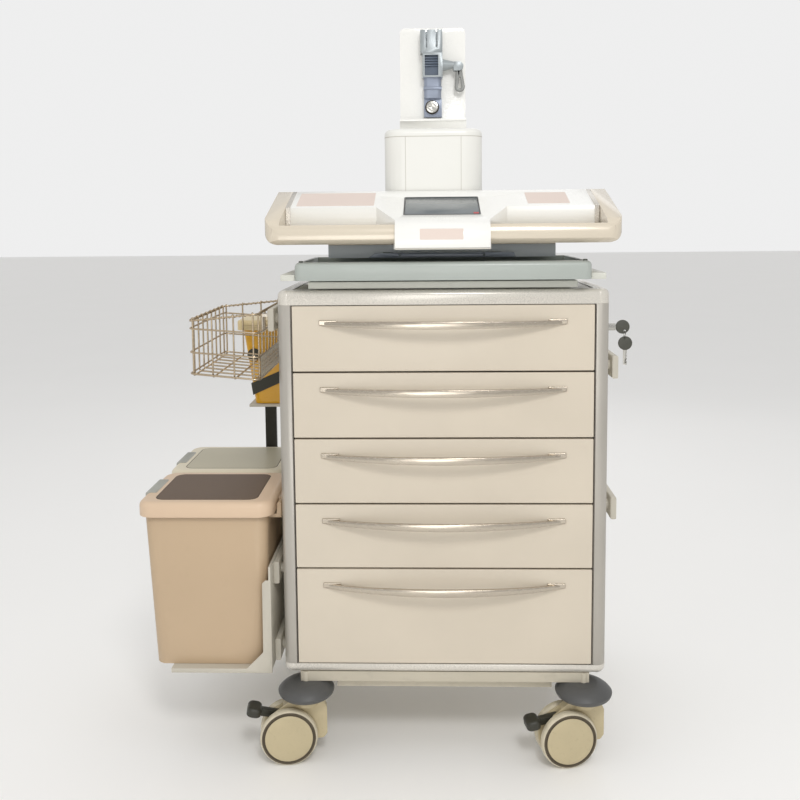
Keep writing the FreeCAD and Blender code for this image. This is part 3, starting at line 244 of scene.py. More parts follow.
def palette():
    """Every finish on the trolley."""
    surface("drawer_enamel", (206, 195, 177), 0.42, mottle=0.03, grain=0.12, grain_scale=1400, coat=0.15)
    surface("panel_enamel", (205, 200, 188), 0.5, mottle=0.04, grain=0.14, grain_scale=1200, soil=0.1)
    surface("anodised_aluminium", (180, 175, 166), 0.36, 0.45, mottle=0.05, grain=0.12, grain_scale=260,
            stretch=(1, 1, 0.02), rough_vary=0.06)
    surface("frame_plastic", (210, 205, 195), 0.28, 0.25, mottle=0.04, grain=0.06, coat=0.2)
    # A dark brown that paints the shade in the gaps beside the corner posts and round the bin lids' panels;
    # the ring behind the clamp's knob is given it too.
    surface("gap_shade_dark", (58, 52, 44), 0.7, mottle=0.12)
    surface("brushed_nickel", (190, 180, 165), 0.24, 1.0, mottle=0.06, grain=0.12, grain_scale=420,
            stretch=(0.03, 1, 1), rough_vary=0.07)
    surface("drawer_box_plastic", (205, 203, 197), 0.55, mottle=0.04, grain=0.2)
    surface("zinc_steel", (165, 165, 165), 0.4, 0.9, mottle=0.12, mottle_scale=60, grain=0.1)
    surface("base_enamel", (186, 178, 160), 0.45, mottle=0.05, grain=0.12, soil=0.2)
    surface("bumper_rubber", (80, 80, 79), 0.46, mottle=0.07, mottle_scale=14, grain=0.22,
            grain_scale=1500, soil=0.15)
    surface("castor_plastic", (190, 176, 142), 0.42, mottle=0.04, mottle_scale=16, grain=0.12, soil=0.22)
    surface("castor_ring", (84, 74, 58), 0.6, mottle=0.1, mottle_scale=20, grain=0.2)
    surface("castor_tread", (204, 194, 170), 0.55, mottle=0.12, mottle_scale=40, grain=0.3,
            grain_scale=700, soil=0.5)
    surface("pedal_plastic", (50, 49, 40), 0.45, mottle=0.1, mottle_scale=20, grain=0.3, grain_scale=700)
    surface("rail_enamel", (192, 186, 172), 0.42, mottle=0.04, grain=0.12)
    surface("tray_plastic", (166, 172, 166), 0.38, mottle=0.03, grain=0.1, coat=0.15)
    surface("tray_base_plastic", (206, 206, 196), 0.42, mottle=0.04, grain=0.1)
    # The riser's blue-grey is made lighter to make up for the shade in the recess under the console, so part
    # of its lightness is painted light.
    surface("riser_enamel", (204, 212, 217), 0.42, mottle=0.04, grain=0.14)
    surface("bolt_enamel", (138, 146, 158), 0.4, mottle=0.04, grain=0.14)
    surface("worktop_plastic", (212, 201, 182), 0.24, 0.12, mottle=0.02, grain=0.03, coat=0.35,
            rough_vary=0.04)
    surface("console_plastic", (238, 237, 232), 0.3, mottle=0.012, grain=0.05, coat=0.2, rough_vary=0.05)
    surface("column_plastic", (232, 231, 225), 0.34, mottle=0.014, grain=0.05, coat=0.1, rough_vary=0.05)
    # A darker grey that paints the shade in the column's seam grooves as nearly flush strips; the lip under
    # the console's middle block is given it too.
    surface("seam_shade_grey", (196, 192, 182), 0.6, mottle=0.05)
    surface("satin_trim", (206, 200, 190), 0.26, 0.75, mottle=0.05, grain=0.05, stretch=(1, 1, 0.1))
    # The screen's mottle makes lighter patches that paint faint reflections on the glass, as well as
    # smudges.
    surface("screen_glass", (104, 110, 112), 0.22, mottle=0.06, mottle_scale=12, grain=0.0, coat=0.3,
            rough_vary=0.05)
    surface("screen_frame", (44, 44, 46), 0.4, mottle=0.06)
    surface("red_tag", (196, 62, 66), 0.5, mottle=0.08)
    surface("label_paper", (222, 206, 196), 0.6, mottle=0.02, grain=0.05)
    surface("bracket_enamel", (240, 239, 234), 0.16, mottle=0.03, grain=0.75, grain_scale=210, coat=0.5,
            rough_vary=0.05)
    surface("clamp_casting", (158, 164, 166), 0.36, 0.35, mottle=0.05, mottle_scale=30, grain=0.2,
            grain_scale=1000)
    surface("clamp_block", (142, 150, 166), 0.36, 0.25, mottle=0.05, mottle_scale=30, grain=0.15)
    surface("clamp_window", (78, 90, 106), 0.35, mottle=0.1, mottle_scale=60)
    surface("lever_casting", (134, 135, 132), 0.4, 0.3, mottle=0.06, mottle_scale=40, grain=0.2)
    surface("front_bin_plastic", (190, 166, 136), 0.46, mottle=0.025, grain=0.14, grain_scale=1300,
            soil=0.05)
    surface("front_lid_plastic", (214, 188, 160), 0.4, mottle=0.02, grain=0.1)
    surface("front_panel_plastic", (98, 79, 61), 0.5, mottle=0.04, grain=0.12, specular=0.35)
    surface("rear_bin_plastic", (204, 192, 166), 0.46, mottle=0.025, grain=0.14, soil=0.05)
    surface("rear_lid_plastic", (218, 209, 186), 0.4, mottle=0.02, grain=0.1)
    surface("rear_panel_plastic", (184, 177, 154), 0.42, mottle=0.03, grain=0.12)
    surface("latch_plastic", (168, 168, 160), 0.42, mottle=0.05, grain=0.1)
    surface("chromed_wire", (184, 167, 142), 0.22, 0.95, mottle=0.08, mottle_scale=60, grain=0.04)
    surface("perforated_sheet", (222, 214, 200), 0.3, 0.7, mottle=0.05, grain=0.06)
    surface("sharps_plastic", (222, 166, 34), 0.32, mottle=0.04, grain=0.06, coat=0.2)
    surface("sharps_lid_plastic", (222, 202, 156), 0.34, mottle=0.03, grain=0.08)
    surface("strap_webbing", (62, 62, 54), 0.75, mottle=0.1, grain=0.7, grain_scale=800)
    surface("stay_enamel", (44, 44, 40), 0.4, mottle=0.08, grain=0.12)
    surface("screw_steel", (190, 188, 182), 0.24, 1.0, mottle=0.06, mottle_scale=80, grain=0.05)
    surface("key_plastic", (70, 70, 62), 0.45, mottle=0.08, mottle_scale=50, grain=0.15)


# ---------------------------------------------------------------- shapes

def shaded(obj, angle=35.0):
    """Smooth shading with sharp edges kept."""
    obj.data.shade_smooth()
    obj.data.set_sharp_from_angle(angle=math.radians(angle))


def soften(obj, width, segments=3, weld=False):
    """Rounds a mesh's sharp edges."""
    if weld:
        merge = obj.modifiers.new("weld", "WELD")
        merge.merge_threshold = 0.00002
    bevel = obj.modifiers.new("soft_edges", "BEVEL")
    bevel.width = width * MM
    bevel.segments = segments
    bevel.limit_method = "ANGLE"
    bevel.angle_limit = math.radians(40.0)
    bevel.harden_normals = True
    bevel.use_clamp_overlap = True


def piece(name, parts, body, material, bevel=0.0, angle=35.0):
    """One object out of several (points, faces) parts given in the cabinet's millimetres."""
    points, faces = [], []
    for part_points, part_faces in parts:
        start = len(points)
        points += [place(*p) for p in part_points]
        faces += [tuple(start + i for i in face) for face in part_faces]
    mesh = bpy.data.meshes.new(name)
    mesh.from_pydata(points, [], faces)
    mesh.validate()
    mesh.update()
    obj = bpy.data.objects.new(name, mesh)
    bpy.context.scene.collection.objects.link(obj)
    obj.data.materials.append(MATERIALS[material])
    shaded(obj, angle)
    if bevel:
        soften(obj, bevel)
    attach(obj, body)
    return obj


def turned(a, b, along, axis):
    """A point of an outline at a distance along the axis it is drawn out on."""
    return {"x": (along, a, b), "y": (a, along, b), "z": (a, b, along)}[axis]


def extruded(outline, axis, low, high):
    """An outline drawn out along an axis. Its points are (y, z) for x, (x, z) for y and (x, y) for z."""
    count = len(outline)
    area = sum(outline[i][0] * outline[(i + 1) % count][1] - outline[(i + 1) % count][0] * outline[i][1]
               for i in range(count))
    flip = (area < 0) != (axis == "y")
    outline = outline[::-1] if flip else outline
    points = [turned(a, b, along, axis) for along in (low, high) for a, b in outline]
    faces = [tuple(range(count - 1, -1, -1)), tuple(range(count, 2 * count))]
    faces += [(i, (i + 1) % count, count + (i + 1) % count, count + i) for i in range(count)]
    return points, faces


def block(x, y, z):
    """A plain block, to be rounded by its piece's bevel."""
    return extruded([(x[0], y[0]), (x[1], y[0]), (x[1], y[1]), (x[0], y[1])], "z", z[0], z[1])


def round_outline(a, b, radius, steps=6):
    """A rectangle with round corners, from its (low, high) pairs."""
    points = []
    centres = ((a[1] - radius, b[1] - radius), (a[0] + radius, b[1] - radius),
               (a[0] + radius, b[0] + radius), (a[1] - radius, b[0] + radius))
    for quarter, (ca, cb) in enumerate(centres):
        for step in range(steps + 1):
            t = math.radians(90 * (quarter + step / steps))
            points.append((ca + radius * math.cos(t), cb + radius * math.sin(t)))
    return points


def ring_plate(a, b, radius, width, low, high, steps):
    """A thin level frame round a rounded rectangle."""
    outer = round_outline(a, b, radius, steps)
    inner = round_outline((a[0] + width, a[1] - width), (b[0] + width, b[1] - width),
                          max(0.4, radius - width), steps)
    n = len(outer)
    points = [(*p, z) for z in (low, high) for loop in (outer, inner) for p in loop]
    faces = []
    for i in range(n):
        j = (i + 1) % n
        faces += [(i, j, n + j, n + i), (2 * n + i, 3 * n + i, 3 * n + j, 2 * n + j),
                  (i, 2 * n + i, 2 * n + j, j), (n + i, n + j, 3 * n + j, 3 * n + i)]
    return points, faces


def lathe(profile, centre, axis, steps=40):
    """A (radius, height) profile turned about an axis direction through a centre."""
    axis = Vector(axis).normalized()
    side = axis.orthogonal().normalized()
    other = axis.cross(side)
    centre = Vector(centre)
    points, faces = [], []
    for radius, height in profile:
        for step in range(steps):
            t = 2 * math.pi * step / steps
            out = (side * math.cos(t) + other * math.sin(t)) * radius
            points.append(tuple(centre + axis * height + out))
    for ring in range(len(profile) - 1):
        for step in range(steps):
            j = (step + 1) % steps
            a, b = ring * steps, (ring + 1) * steps
            faces.append((a + step, a + j, b + j, b + step))
    faces.append(tuple(range(steps - 1, -1, -1)))
    last = (len(profile) - 1) * steps
    faces.append(tuple(last + i for i in range(steps)))
    return points, faces


def tube(path, radius, sides=10, closed=False):
    """A round wire along points, with flat ends."""
    path = [Vector(p) for p in path]
    count = len(path)
    points, faces = [], []
    normal = None
    for i, here in enumerate(path):
        ahead = path[(i + 1) % count] if closed or i + 1 < count else here
        behind = path[i - 1] if closed or i else here
        way = (ahead - behind).normalized()
        if normal is None:
            normal = way.orthogonal().normalized()
        normal = (normal - way * normal.dot(way)).normalized()
        other = way.cross(normal)
        for side in range(sides):
            t = 2 * math.pi * side / sides
            points.append(tuple(here + (normal * math.cos(t) + other * math.sin(t)) * radius))
    for i in range(count if closed else count - 1):
        a, b = i * sides, ((i + 1) % count) * sides
        for side in range(sides):
            j = (side + 1) % sides
            faces.append((a + side, a + j, b + j, b + side))
    if not closed:
        faces.append(tuple(range(sides - 1, -1, -1)))
        faces.append(tuple((count - 1) * sides + i for i in range(sides)))
    return points, faces


def bent(corners, radius, closed=False, steps=5):
    """The path through corner points with each corner rounded."""
    corners = [Vector(c) for c in corners]
    count = len(corners)
    path = []
    for i, corner in enumerate(corners):
        if not closed and i in (0, count - 1):
            path.append(tuple(corner))
            continue
        before = (corners[i - 1] - corner).normalized()
        after = (corners[(i + 1) % count] - corner).normalized()
        start, end = corner + before * radius, corner + after * radius
        for step in range(steps + 1):
            t = step / steps
            path.append(tuple(start * (1 - t) ** 2 + corner * 2 * t * (1 - t) + end * t * t))
    return path


def screw(x, y, z, axis, radius=4.0, height=2.2):
    """A domed screw head with a socket. Its outline is in shares of its radius and its height."""
    outline = [(1, 0), (1, 0.45), (0.86, 0.8), (0.5, 1), (0.46, 1), (0.42, 0.35), (0.1, 0.3)]
    return lathe([(radius * r, height * h) for r, h in outline], (x, y, z), axis, 24)


# ---------------------------------------------------------------- CAD pieces

def dress(node, material, bevel=0.0):
    """Gives a CAD piece its finish, smooth shading and slightly rounded edges."""
    obj = NODES[node]
    obj.data.materials.clear()
    obj.data.materials.append(MATERIALS[material])
    shaded(obj, 30.0)
    if bevel:
        soften(obj, bevel, 2, weld=True)
    return obj


def dress_by(node, materials, choose, bevel=0.0):
    """Gives a CAD piece several finishes. choose says which, from a face's middle in cabinet millimetres."""
    obj = dress(node, materials[0], bevel)
    for material in materials[1:]:
        obj.data.materials.append(MATERIALS[material])
    origin = place(0, 0, 0)
    for face in obj.data.polygons:
        face.material_index = choose((face.center - origin) / MM)


def dress_cabinet():
    """The cabinet, its drawers and its rails."""
    dress("left_side_panel", "panel_enamel", 1.0)
    dress("right_side_panel", "panel_enamel", 1.0)
    dress("back_panel", "panel_enamel", 1.0)
    dress("top_panel", "frame_plastic", 1.0)
    dress("bottom_panel", "base_enamel", 1.0)
    dress("corner_posts", "anodised_aluminium", 0.8)
    dress("frame_bars", "frame_plastic", 0.8)
    dress("corner_caps", "frame_plastic", 0.5)
    dress("base_frame", "base_enamel", 1.0)
    dress("castor_bumpers", "bumper_rubber")
    dress("drawer_runners", "zinc_steel", 0.6)
    dress("side_rails", "rail_enamel", 0.6)
    for number in range(1, DRAWERS + 1):
        dress(f"drawer_{number}_front", "drawer_enamel", 0.6)
        dress(f"drawer_{number}_box", "drawer_box_plastic", 0.6)
        dress(f"drawer_{number}_handle", "brushed_nickel", 1.6)


def wheel_part(corner):
    """Says which part of a castor's wheels a face is on: the hub, the dark ring or the tread."""
    x, y, turn = CASTORS[corner]
    turn = math.radians(turn)
    trail = Vector((math.cos(turn), math.sin(turn), 0))
    axle = Vector((-math.sin(turn), math.cos(turn), 0))
    centre = Vector((x, y, WHEEL_RADIUS)) + trail * CASTOR_TRAIL

    def part(point):
        along = (point - centre).dot(axle)
        reach = (point - centre - axle * along).length
        if reach > RING_RADIUS:
            return 2
        return 1 if reach > HUB_RADIUS and abs(along) > RING_FROM_MIDDLE else 0
    return part


def dress_castors():
    """The four castors. Only the front two have a pedal."""
    for corner in CASTORS:
        dress(f"{corner}_castor_fork", "castor_plastic", 1.6)
        finishes = ["castor_plastic", "castor_ring", "castor_tread"]
        dress_by(f"{corner}_castor_wheels", finishes, wheel_part(corner))
    for corner in ("front_left", "front_right"):
        dress(f"{corner}_castor_pedal", "pedal_plastic", 1.2)


def dress_top():
    """Everything on top of the cabinet."""
    dress("tray_base", "tray_base_plastic", 0.8)
    dress("keyboard_tray", "tray_plastic", 1.2)
    dress_by("riser_box", ["riser_enamel", "bolt_enamel"], lambda p: int(p.y < BOLTS_BACK), 0.8)
    dress("worktop", "worktop_plastic", 3.0)
    dress("console_housing", "console_plastic", 2.2)
    dress("display", "screen_glass", 0.4)
    dress("column_housing", "column_plastic", 1.0)
    dress("monitor_bracket", "bracket_enamel", 0.8)
    dress_by("clamp_body", ["clamp_casting", "clamp_block", "clamp_window"], clamp_part, 0.4)
    dress("clamp_lever", "lever_casting", 1.2)
    dress("clamp_knob", "screw_steel", 0.6)


def clamp_part(point):
    """The clamp's foot and waist are blue-grey, and the ribbed window is dark."""
    if point.z < CLAMP_FOOT_TOP:
        return 1
    in_window = WINDOW_X[0] < point.x < WINDOW_X[1] and WINDOW_Z[0] < point.z < WINDOW_Z[1]
    return 2 if in_window and point.y > WINDOW_FRONT else 0


def dress_sides():
    """The bins, the sharps box, the basket and the lock with its keys."""
    dress("front_bin_body", "front_bin_plastic", 0.8)
    dress("rear_bin_body", "rear_bin_plastic", 0.8)
    for name, middle in (("front", LID_MIDDLE), ("rear", LID_MIDDLE + BIN_PITCH)):
        dress_by(f"{name}_bin_lid", [f"{name}_lid_plastic", "latch_plastic"], latch_part(middle), 1.0)
    dress("bin_carrier", "rail_enamel", 0.6)
    dress("sharps_container", "sharps_plastic", 0.8)
    dress("sharps_lid", "sharps_lid_plastic", 1.0)
    dress_by("sharps_holder", ["rail_enamel", "stay_enamel"], lambda p: int(p.z < STAY_TOP), 0.6)
    dress("basket", "chromed_wire")
    dress("lock_barrel", "screw_steel", 0.4)
    for node in ("key", "spare_key"):
        dress_by(node, ["key_plastic", "screw_steel"], key_part, 0.3)


def latch_part(middle):
    """Says whether a face of a lid is on the grip at its outer side."""
    def part(point):
        near = point.x < LATCH_INNER and abs(point.y - middle) < LATCH_HALF
        return int(near and point.z > LATCH_LOW)
    return part


def key_part(point):
    """The heads of the keys are plastic. The blades and the ring are steel."""
    reach = min(math.hypot(point.x - x, point.z - z) for x, z in KEY_HEADS)
    return int(reach >= KEY_HEAD_REACH)


# ---------------------------------------------------------------- cabinet details

def post_gap_shade():
    """A dark strip of painted shade in the gap between each corner post and the panel or drawers next to it.
    """
    inner = CABINET_HALF - POST
    strips = []
    for side in (-1, 1):
        for y in ((-0.4, 1.0), (CABINET_DEPTH - 1.0, CABINET_DEPTH + 0.4)):
            x = sorted((side * (inner - 0.6), side * (inner + 0.6)))
            strips.append(block(x, y, (221, 1006)))
    piece("post_gap_shade", strips, "cart", "gap_shade_dark")


def screws():
    """The screws round the back panel and along the rails."""
    y = CABINET_DEPTH - 3.6
    places = [(x, z) for x in (-300, -100, 100, 300) for z in (236, 992)]
    places += [(x, z) for x in (-306, 306) for z in (430, 620, 810)]
    heads = [screw(x, y, z, (0, 1, 0)) for x, z in places]
    piece("back_screws", heads, "cart", "screw_steel", angle=50)
    heads = []
    for side, levels in ((-1, LEFT_SCREW_RAILS), (1, RIGHT_SCREW_RAILS)):
        for z in levels:
            heads += [screw(side * RAIL_FACE, y, z, (side, 0, 0), 5.0, 2.6) for y in RAIL_SCREWS]
    piece("rail_screws", heads, "cart", "screw_steel", angle=50)


def handle_feet():
    """The small flat feet that carry each bow handle on its drawer front."""
    for number in range(1, DRAWERS + 1):
        z = span(f"drawer_{number}_front")[2][1] - HANDLE_DOWN + 1.75
        feet = []
        for side in (-1, 1):
            x = sorted(side * end for end in HANDLE_FOOT)
            feet.append(block(x, (-3.4, 0.4), (z - 4.5, z + 6.5)))
        piece(f"drawer_{number}_handle_feet", feet, f"drawer_{number}", "brushed_nickel",
              bevel=1.5)


def bumper_details():
    """A dark washer in the hollow under each bumper."""
    washers = []
    profile = [(13, 0), (22, 0.4), (22, 2.0), (13, 2.4)]
    for x, y, _ in CASTORS.values():
        washers.append(lathe(profile, (x, y, BUMPER_RECESS), (0, 0, 1), 32))
    piece("swivel_washers", washers, "cart", "pedal_plastic")


# ---------------------------------------------------------------- console, column and tray

def console_trims():
    """A satin band over the white housing at each of its ends."""
    proud = 1.6
    top_y = WALL_Y + (CONSOLE_TOP - WALL_TOP) / SLOPE
    outline = [(WALL_Y - proud, WALL_LOW), (WALL_Y - proud, WALL_TOP + proud * 0.6),
               (WALL_Y, WALL_TOP + proud * math.hypot(1, SLOPE)), (top_y, CONSOLE_TOP),
               (top_y + 12, CONSOLE_TOP), (top_y + 12, CONSOLE_TOP - 4), (top_y, CONSOLE_TOP - 4),
               (WALL_Y + 4, WALL_TOP - 4), (WALL_Y + 4, WALL_LOW)]
    bands = [extruded(outline, "x", *x) for x in ((-335.8, -325.5), (325.5, 335.8))]
    piece("console_trims", bands, "cart", "satin_trim", bevel=0.8)


def on_slope(x, along, lift):
    """A point over the housing's slope, at a distance up it from the wall and a height above it."""
    sine, cosine = math.sin(SLOPE_ANGLE), math.cos(SLOPE_ANGLE)
    return x, WALL_Y + along * cosine - lift * sine, WALL_TOP + along * sine + lift * cosine


def slope_plate(x, along, low, high, radius):
    """A thin plate on the slope."""
    outline = round_outline(x, along, radius)
    n = len(outline)
    points = [on_slope(a, b, lift) for lift in (low, high) for a, b in outline]
    faces = [tuple(range(n - 1, -1, -1)), tuple(range(n, 2 * n))]
    faces += [(i, (i + 1) % n, n + (i + 1) % n, n + i) for i in range(n)]
    return points, faces


def slope_ring(x, along, width, low, high, radius):
    """A thin frame on the slope."""
    outer = round_outline(x, along, radius)
    inner = round_outline((x[0] + width, x[1] - width), (along[0] + width, along[1] - width), radius - 1)
    n = len(outer)
    points = [on_slope(a, b, lift) for lift in (low, high) for loop in (outer, inner) for a, b in loop]
    faces = []
    for i in range(n):
        j = (i + 1) % n
        faces += [(i, n + i, n + j, j), (2 * n + i, 2 * n + j, 3 * n + j, 3 * n + i),
                  (i, j, 2 * n + j, 2 * n + i), (n + i, 3 * n + i, 3 * n + j, n + j)]
    return points, faces


def console_details():
    """Blank label plates, the screen's frame and tag, and the lip under the middle block."""
    plates = [slope_plate(x, along, -0.2, 0.7, 2)
              for x, along in (((-314, -146), (12, 108)), ((186, 276), (18, 100)))]
    front = round_outline((-46, 42), (1144, 1166), 1.5)
    plates.append(extruded(front, "y", BLOCK_FRONT - 0.12, BLOCK_FRONT + 0.5))
    piece("label_plates", plates, "cart", "label_paper")
    middle = sum(span("display")[0]) / 2
    up = (DISPLAY_Y - WALL_Y) / math.cos(SLOPE_ANGLE)
    x = (middle - SCREEN_HALF[0], middle + SCREEN_HALF[0])
    along = (up - SCREEN_HALF[1], up + SCREEN_HALF[1])
    piece("screen_rim", [slope_ring(x, along, 3.0, -0.4, 0.5, 4.0)], "cart", "screen_frame")
    tag = slope_plate((66, 77), (up - 58, up - 50), 0.0, 0.3, 0.6)
    piece("screen_tag", [tag], "cart", "red_tag")
    lip = [block((-96.6, 96.6), (BLOCK_FRONT, BLOCK_FRONT + 5), (1124.2, 1128.0))]
    piece("block_lip", lip, "cart", "seam_shade_grey", bevel=0.5)


def column_details():
    """Darker strips that paint the shade of two upright seam grooves on the column's front and back, and of
    the seam under its cap.
    """
    front, back = COLUMN_Y
    lines = []
    for y, low in (((front - 0.35, front + 1), 1251), ((back - 1, back + 0.35), 1135)):
        lines += [block((x - 0.6, x + 0.6), y, (low, COLUMN_TOP - 1)) for x in COLUMN_SEAMS]
    piece("column_seam_shade", lines, "cart", "seam_shade_grey")
    half = COLUMN_HALF + 0.3
    band = ring_plate((COLUMN_X - half, COLUMN_X + half), (front - 0.3, back + 0.3), COLUMN_RADIUS, 3.0,
                      COLUMN_TOP - 0.8, COLUMN_TOP + 0.8, 12)
    piece("cap_seam_shade", [band], "cart", "seam_shade_grey")


def knob_details():
    """The dark ring behind the clamp's knob."""
    ring = lathe([(13.8, 0), (16.6, 0), (16.6, 0.8), (13.8, 0.8)], KNOB, (0, -1, 0), 40)
    piece("knob_ring", [ring], "cart", "gap_shade_dark")


def tray_details():
    """Dark nubs on the tray's front corners and the ribs in its well."""
    (x0, x1), (y0, y1), (z0, z1) = span("keyboard_tray")
    profile = [(4.6, 0), (4.6, 2.4), (3.6, 3.4), (1.0, 3.6)]
    nubs = [lathe(profile, (x, y0 + 20, z1 - 3.4), (0, 0, 1), 20) for x in (x0 + 12, x1 - 12)]
    piece("tray_nubs", nubs, "tray", "pedal_plastic", angle=50)
    y, z = (y0 + 44, y1 - 26), (z0 + 5.8, z0 + 7.4)
    ribs = [block((x, x + 3), y, z) for x in range(int(x0) + 30, int(x1) - 30, 12)]
    piece("tray_liner", ribs, "tray", "tray_plastic", bevel=0.3)


# ---------------------------------------------------------------- bins

def bin_details():
    """A raised panel on each lid with a dark ring round it that paints the shade of a groove, and ribs on
    its grip.
    """
    for name, middle in (("front", LID_MIDDLE), ("rear", LID_MIDDLE + BIN_PITCH)):
        top = span(f"{name}_bin_lid")[2][1] - LATCH_PROUD
        x, y = (-632, -408), (middle - 100, middle + 98)
        panel = extruded(round_outline(x, y, 20, 8), "z", top - 1.5, top + 0.6)
        piece(f"{name}_lid_panel", [panel], f"{name}_lid", f"{name}_panel_plastic", bevel=0.5)
        # The dark ring is painted groove shade: a flat ring laid at the lid's surface, not cut into it.
        shade_ring = ring_plate((x[0] - 1.6, x[1] + 1.6), (y[0] - 1.6, y[1] + 1.6), 21.6, 1.6,
                            top - 1.0, top + 0.2, 8)
        piece(f"{name}_lid_shade_ring", [shade_ring], f"{name}_lid", "gap_shade_dark")
        ribs = []
        for start in range(int(middle) - 41, int(middle) + 49, 9):
            ribs.append(block((-662, -646), (start, start + 3), (top + 1.6, top + 2.6)))
        piece(f"{name}_lid_grip", ribs, f"{name}_lid", "latch_plastic", bevel=0.4)


# ---------------------------------------------------------------- basket and sharps box

def level(number, x):
    """The height of one of the basket's wire levels, which slopes across the basket."""
    share = (x - BASKET_X[0]) / (BASKET_X[1] - BASKET_X[0])
    return LEVELS_LEFT[number] + (LEVELS_RIGHT[number] - LEVELS_LEFT[number]) * share


def twist(start, end, radius, pitch):
    """A thin wire wound round a straight one."""
    start, end = Vector(start), Vector(end)
    way = (end - start).normalized()
    side = way.orthogonal().normalized()
    other = way.cross(side)
    steps = int((end - start).length / pitch * 8)
    path = []
    for step in range(steps + 1):
        t = math.radians(45 * step)
        path.append(start.lerp(end, step / steps) + (side * math.cos(t) + other * math.sin(t)) * radius)
    return tube(path, WOUND_WIRE, 6)


def basket_rim():
    """The thin wire wound round each side of the rim."""
    (x0, x1), (y0, y1) = BASKET_X, BASKET_Y
    corners = [(x, y, level(0, x)) for x, y in ((x0, y0), (x1, y0), (x1, y1), (x0, y1))]
    wires = []
    for number in range(4):
        start, end = Vector(corners[number]), Vector(corners[(number + 1) % 4])
        inset = (end - start).normalized() * BASKET_CORNER
        wires.append(twist(start + inset, end - inset, WIRE + 0.5, 11.0))
    return wires


def basket():
    """Bent wires in place of the CAD basket's plain ones, and its perforated end with two hooks."""
    (x0, x1), (y0, y1) = BASKET_X, BASKET_Y
    wires = basket_rim()
    for number in range(4):
        ring = [(x, y, level(number, x)) for x, y in ((x0, y0), (x1, y0), (x1, y1), (x0, y1))]
        wires.append(tube(bent(ring, BASKET_CORNER, True, 6), WIRE, 10, True))
    inset = 2 * WIRE
    low = level(3, x0) - 2 * WIRE
    for x in UPRIGHTS:
        floor = level(3, x) - 2 * WIRE
        path = [(x, y0 + inset, level(0, x) + 1.4), (x, y0 + inset, floor), (x, y1 - inset, floor),
                (x, y1 - inset, level(0, x) + 1.4)]
        wires.append(tube(bent(path, 9), THIN_WIRE, 8))
        for y, way in ((y0 + inset, "near"), (y1 - inset, "far")):
            wires.append(tube(curl(x, y, level(0, x), way), THIN_WIRE, 8))
    for number in range(FLOOR_WIRES):
        y = y0 + 24 + number * (y1 - y0 - 48) / (FLOOR_WIRES - 1)
        x = x0 + inset
        end = x1 - inset
        path = [(x, y, level(0, x0) + 1.4), (x, y, low), (end, y, level(3, x1) - 2 * WIRE),
                (end, y, level(0, x1) - 1.4)]
        wires.append(tube(bent(path, 5), THIN_WIRE, 8))
        wires.append(tube(curl(x, y, level(0, x), "x"), THIN_WIRE, 8))
    rods = piece("basket_wires", wires, "wire_basket", "chromed_wire", angle=60)
    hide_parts("basket")
    sheet = [perforated(SHEET_X, SHEET_Y, level(3, x1) + 2, level(2, x1) + 2)]
    piece("basket_end_sheet", sheet, "wire_basket", "perforated_sheet")
    hooks = []
    for y in HOOKS_Y:
        width = (y, y + HOOK_WIDTH)
        hooks.append(block((SHEET_X + 0.8, -378.2), width, (HOOK_TOP - 6, HOOK_TOP)))
        hooks.append(block((SHEET_X, SHEET_X + 1.6), width, (HOOK_TOP - 40, HOOK_TOP)))
    piece("basket_hooks", hooks, "wire_basket", "perforated_sheet", bevel=0.4)


def curl(x, y, z, way):
    """The curled end of an upright over the rim wire."""
    out = {"x": (-1, 0), "near": (0, -1), "far": (0, 1)}[way]
    reach = 2 * WIRE
    path = []
    for step in range(9):
        t = math.radians(200 * step / 8)
        across = reach * 0.5 * (1 - math.cos(t))
        path.append((x + out[0] * across, y + out[1] * across, z + 1.2 + reach * 0.55 * math.sin(t)))
    return path


def perforated(x, y, low, high):
    """A thin sheet with rows of square holes and a solid rim."""
    cell, hole = 9.0, 2.6
    square = ((-1, -1), (1, -1), (1, 1), (-1, 1))
    points, faces = [], []
    for face_x, flip in ((x, False), (x + 1.0, True)):
        rows = int((high - low) / cell)
        columns = int((y[1] - y[0]) / cell)
        for row in range(rows):
            for column in range(columns):
                y0, z0 = y[0] + column * cell, low + row * cell
                ym, zm = y0 + cell / 2, z0 + cell / 2
                edge = row in (0, rows - 1) or column in (0, columns - 1)
                corner = [(y0, z0), (y0 + cell, z0), (y0 + cell, z0 + cell), (y0, z0 + cell)]
                start = len(points)
                points += [(face_x, a, b) for a, b in corner]
                if edge:
                    quads = [(0, 1, 2, 3)]
                else:
                    points += [(face_x, ym + a * hole, zm + b * hole) for a, b in square]
                    quads = [(i, (i + 1) % 4, 4 + (i + 1) % 4, 4 + i) for i in range(4)]
                faces += [tuple(start + i for i in (quad[::-1] if flip else quad)) for quad in quads]
    return points, faces


def sharps_lean(z):
    """How far the box's left, front and right sides stand in from its top edges at a height."""
    low, high = span("sharps_container")[2]
    return [lean * (high - z) / (high - low) for lean in SHARPS_LEAN]


def strap(z_left, z_right, high, thick):
    """A band round the box that follows its taper and slopes across it."""
    (x0, x1), (y0, y1), _ = span("sharps_container")
    section = ((-0.4, -high / 2), (-0.4, high / 2), (thick, high / 2), (thick, -high / 2))
    points, faces = [], []
    for side_x, side_y in ((-1, -1), (1, -1), (1, 1), (-1, 1)):
        middle = z_right if side_x > 0 else z_left
        for out, rise in section:
            left, deep, right = sharps_lean(middle + rise)
            x = x1 - right if side_x > 0 else x0 + left
            y = y1 - deep if side_y > 0 else y0 + deep
            points.append((x + side_x * out, y + side_y * out, middle + rise))
    for i in range(4):
        j = (i + 1) % 4
        for a in range(4):
            b = (a + 1) % 4
            faces.append((i * 4 + a, i * 4 + b, j * 4 + b, j * 4 + a))
    return points, faces


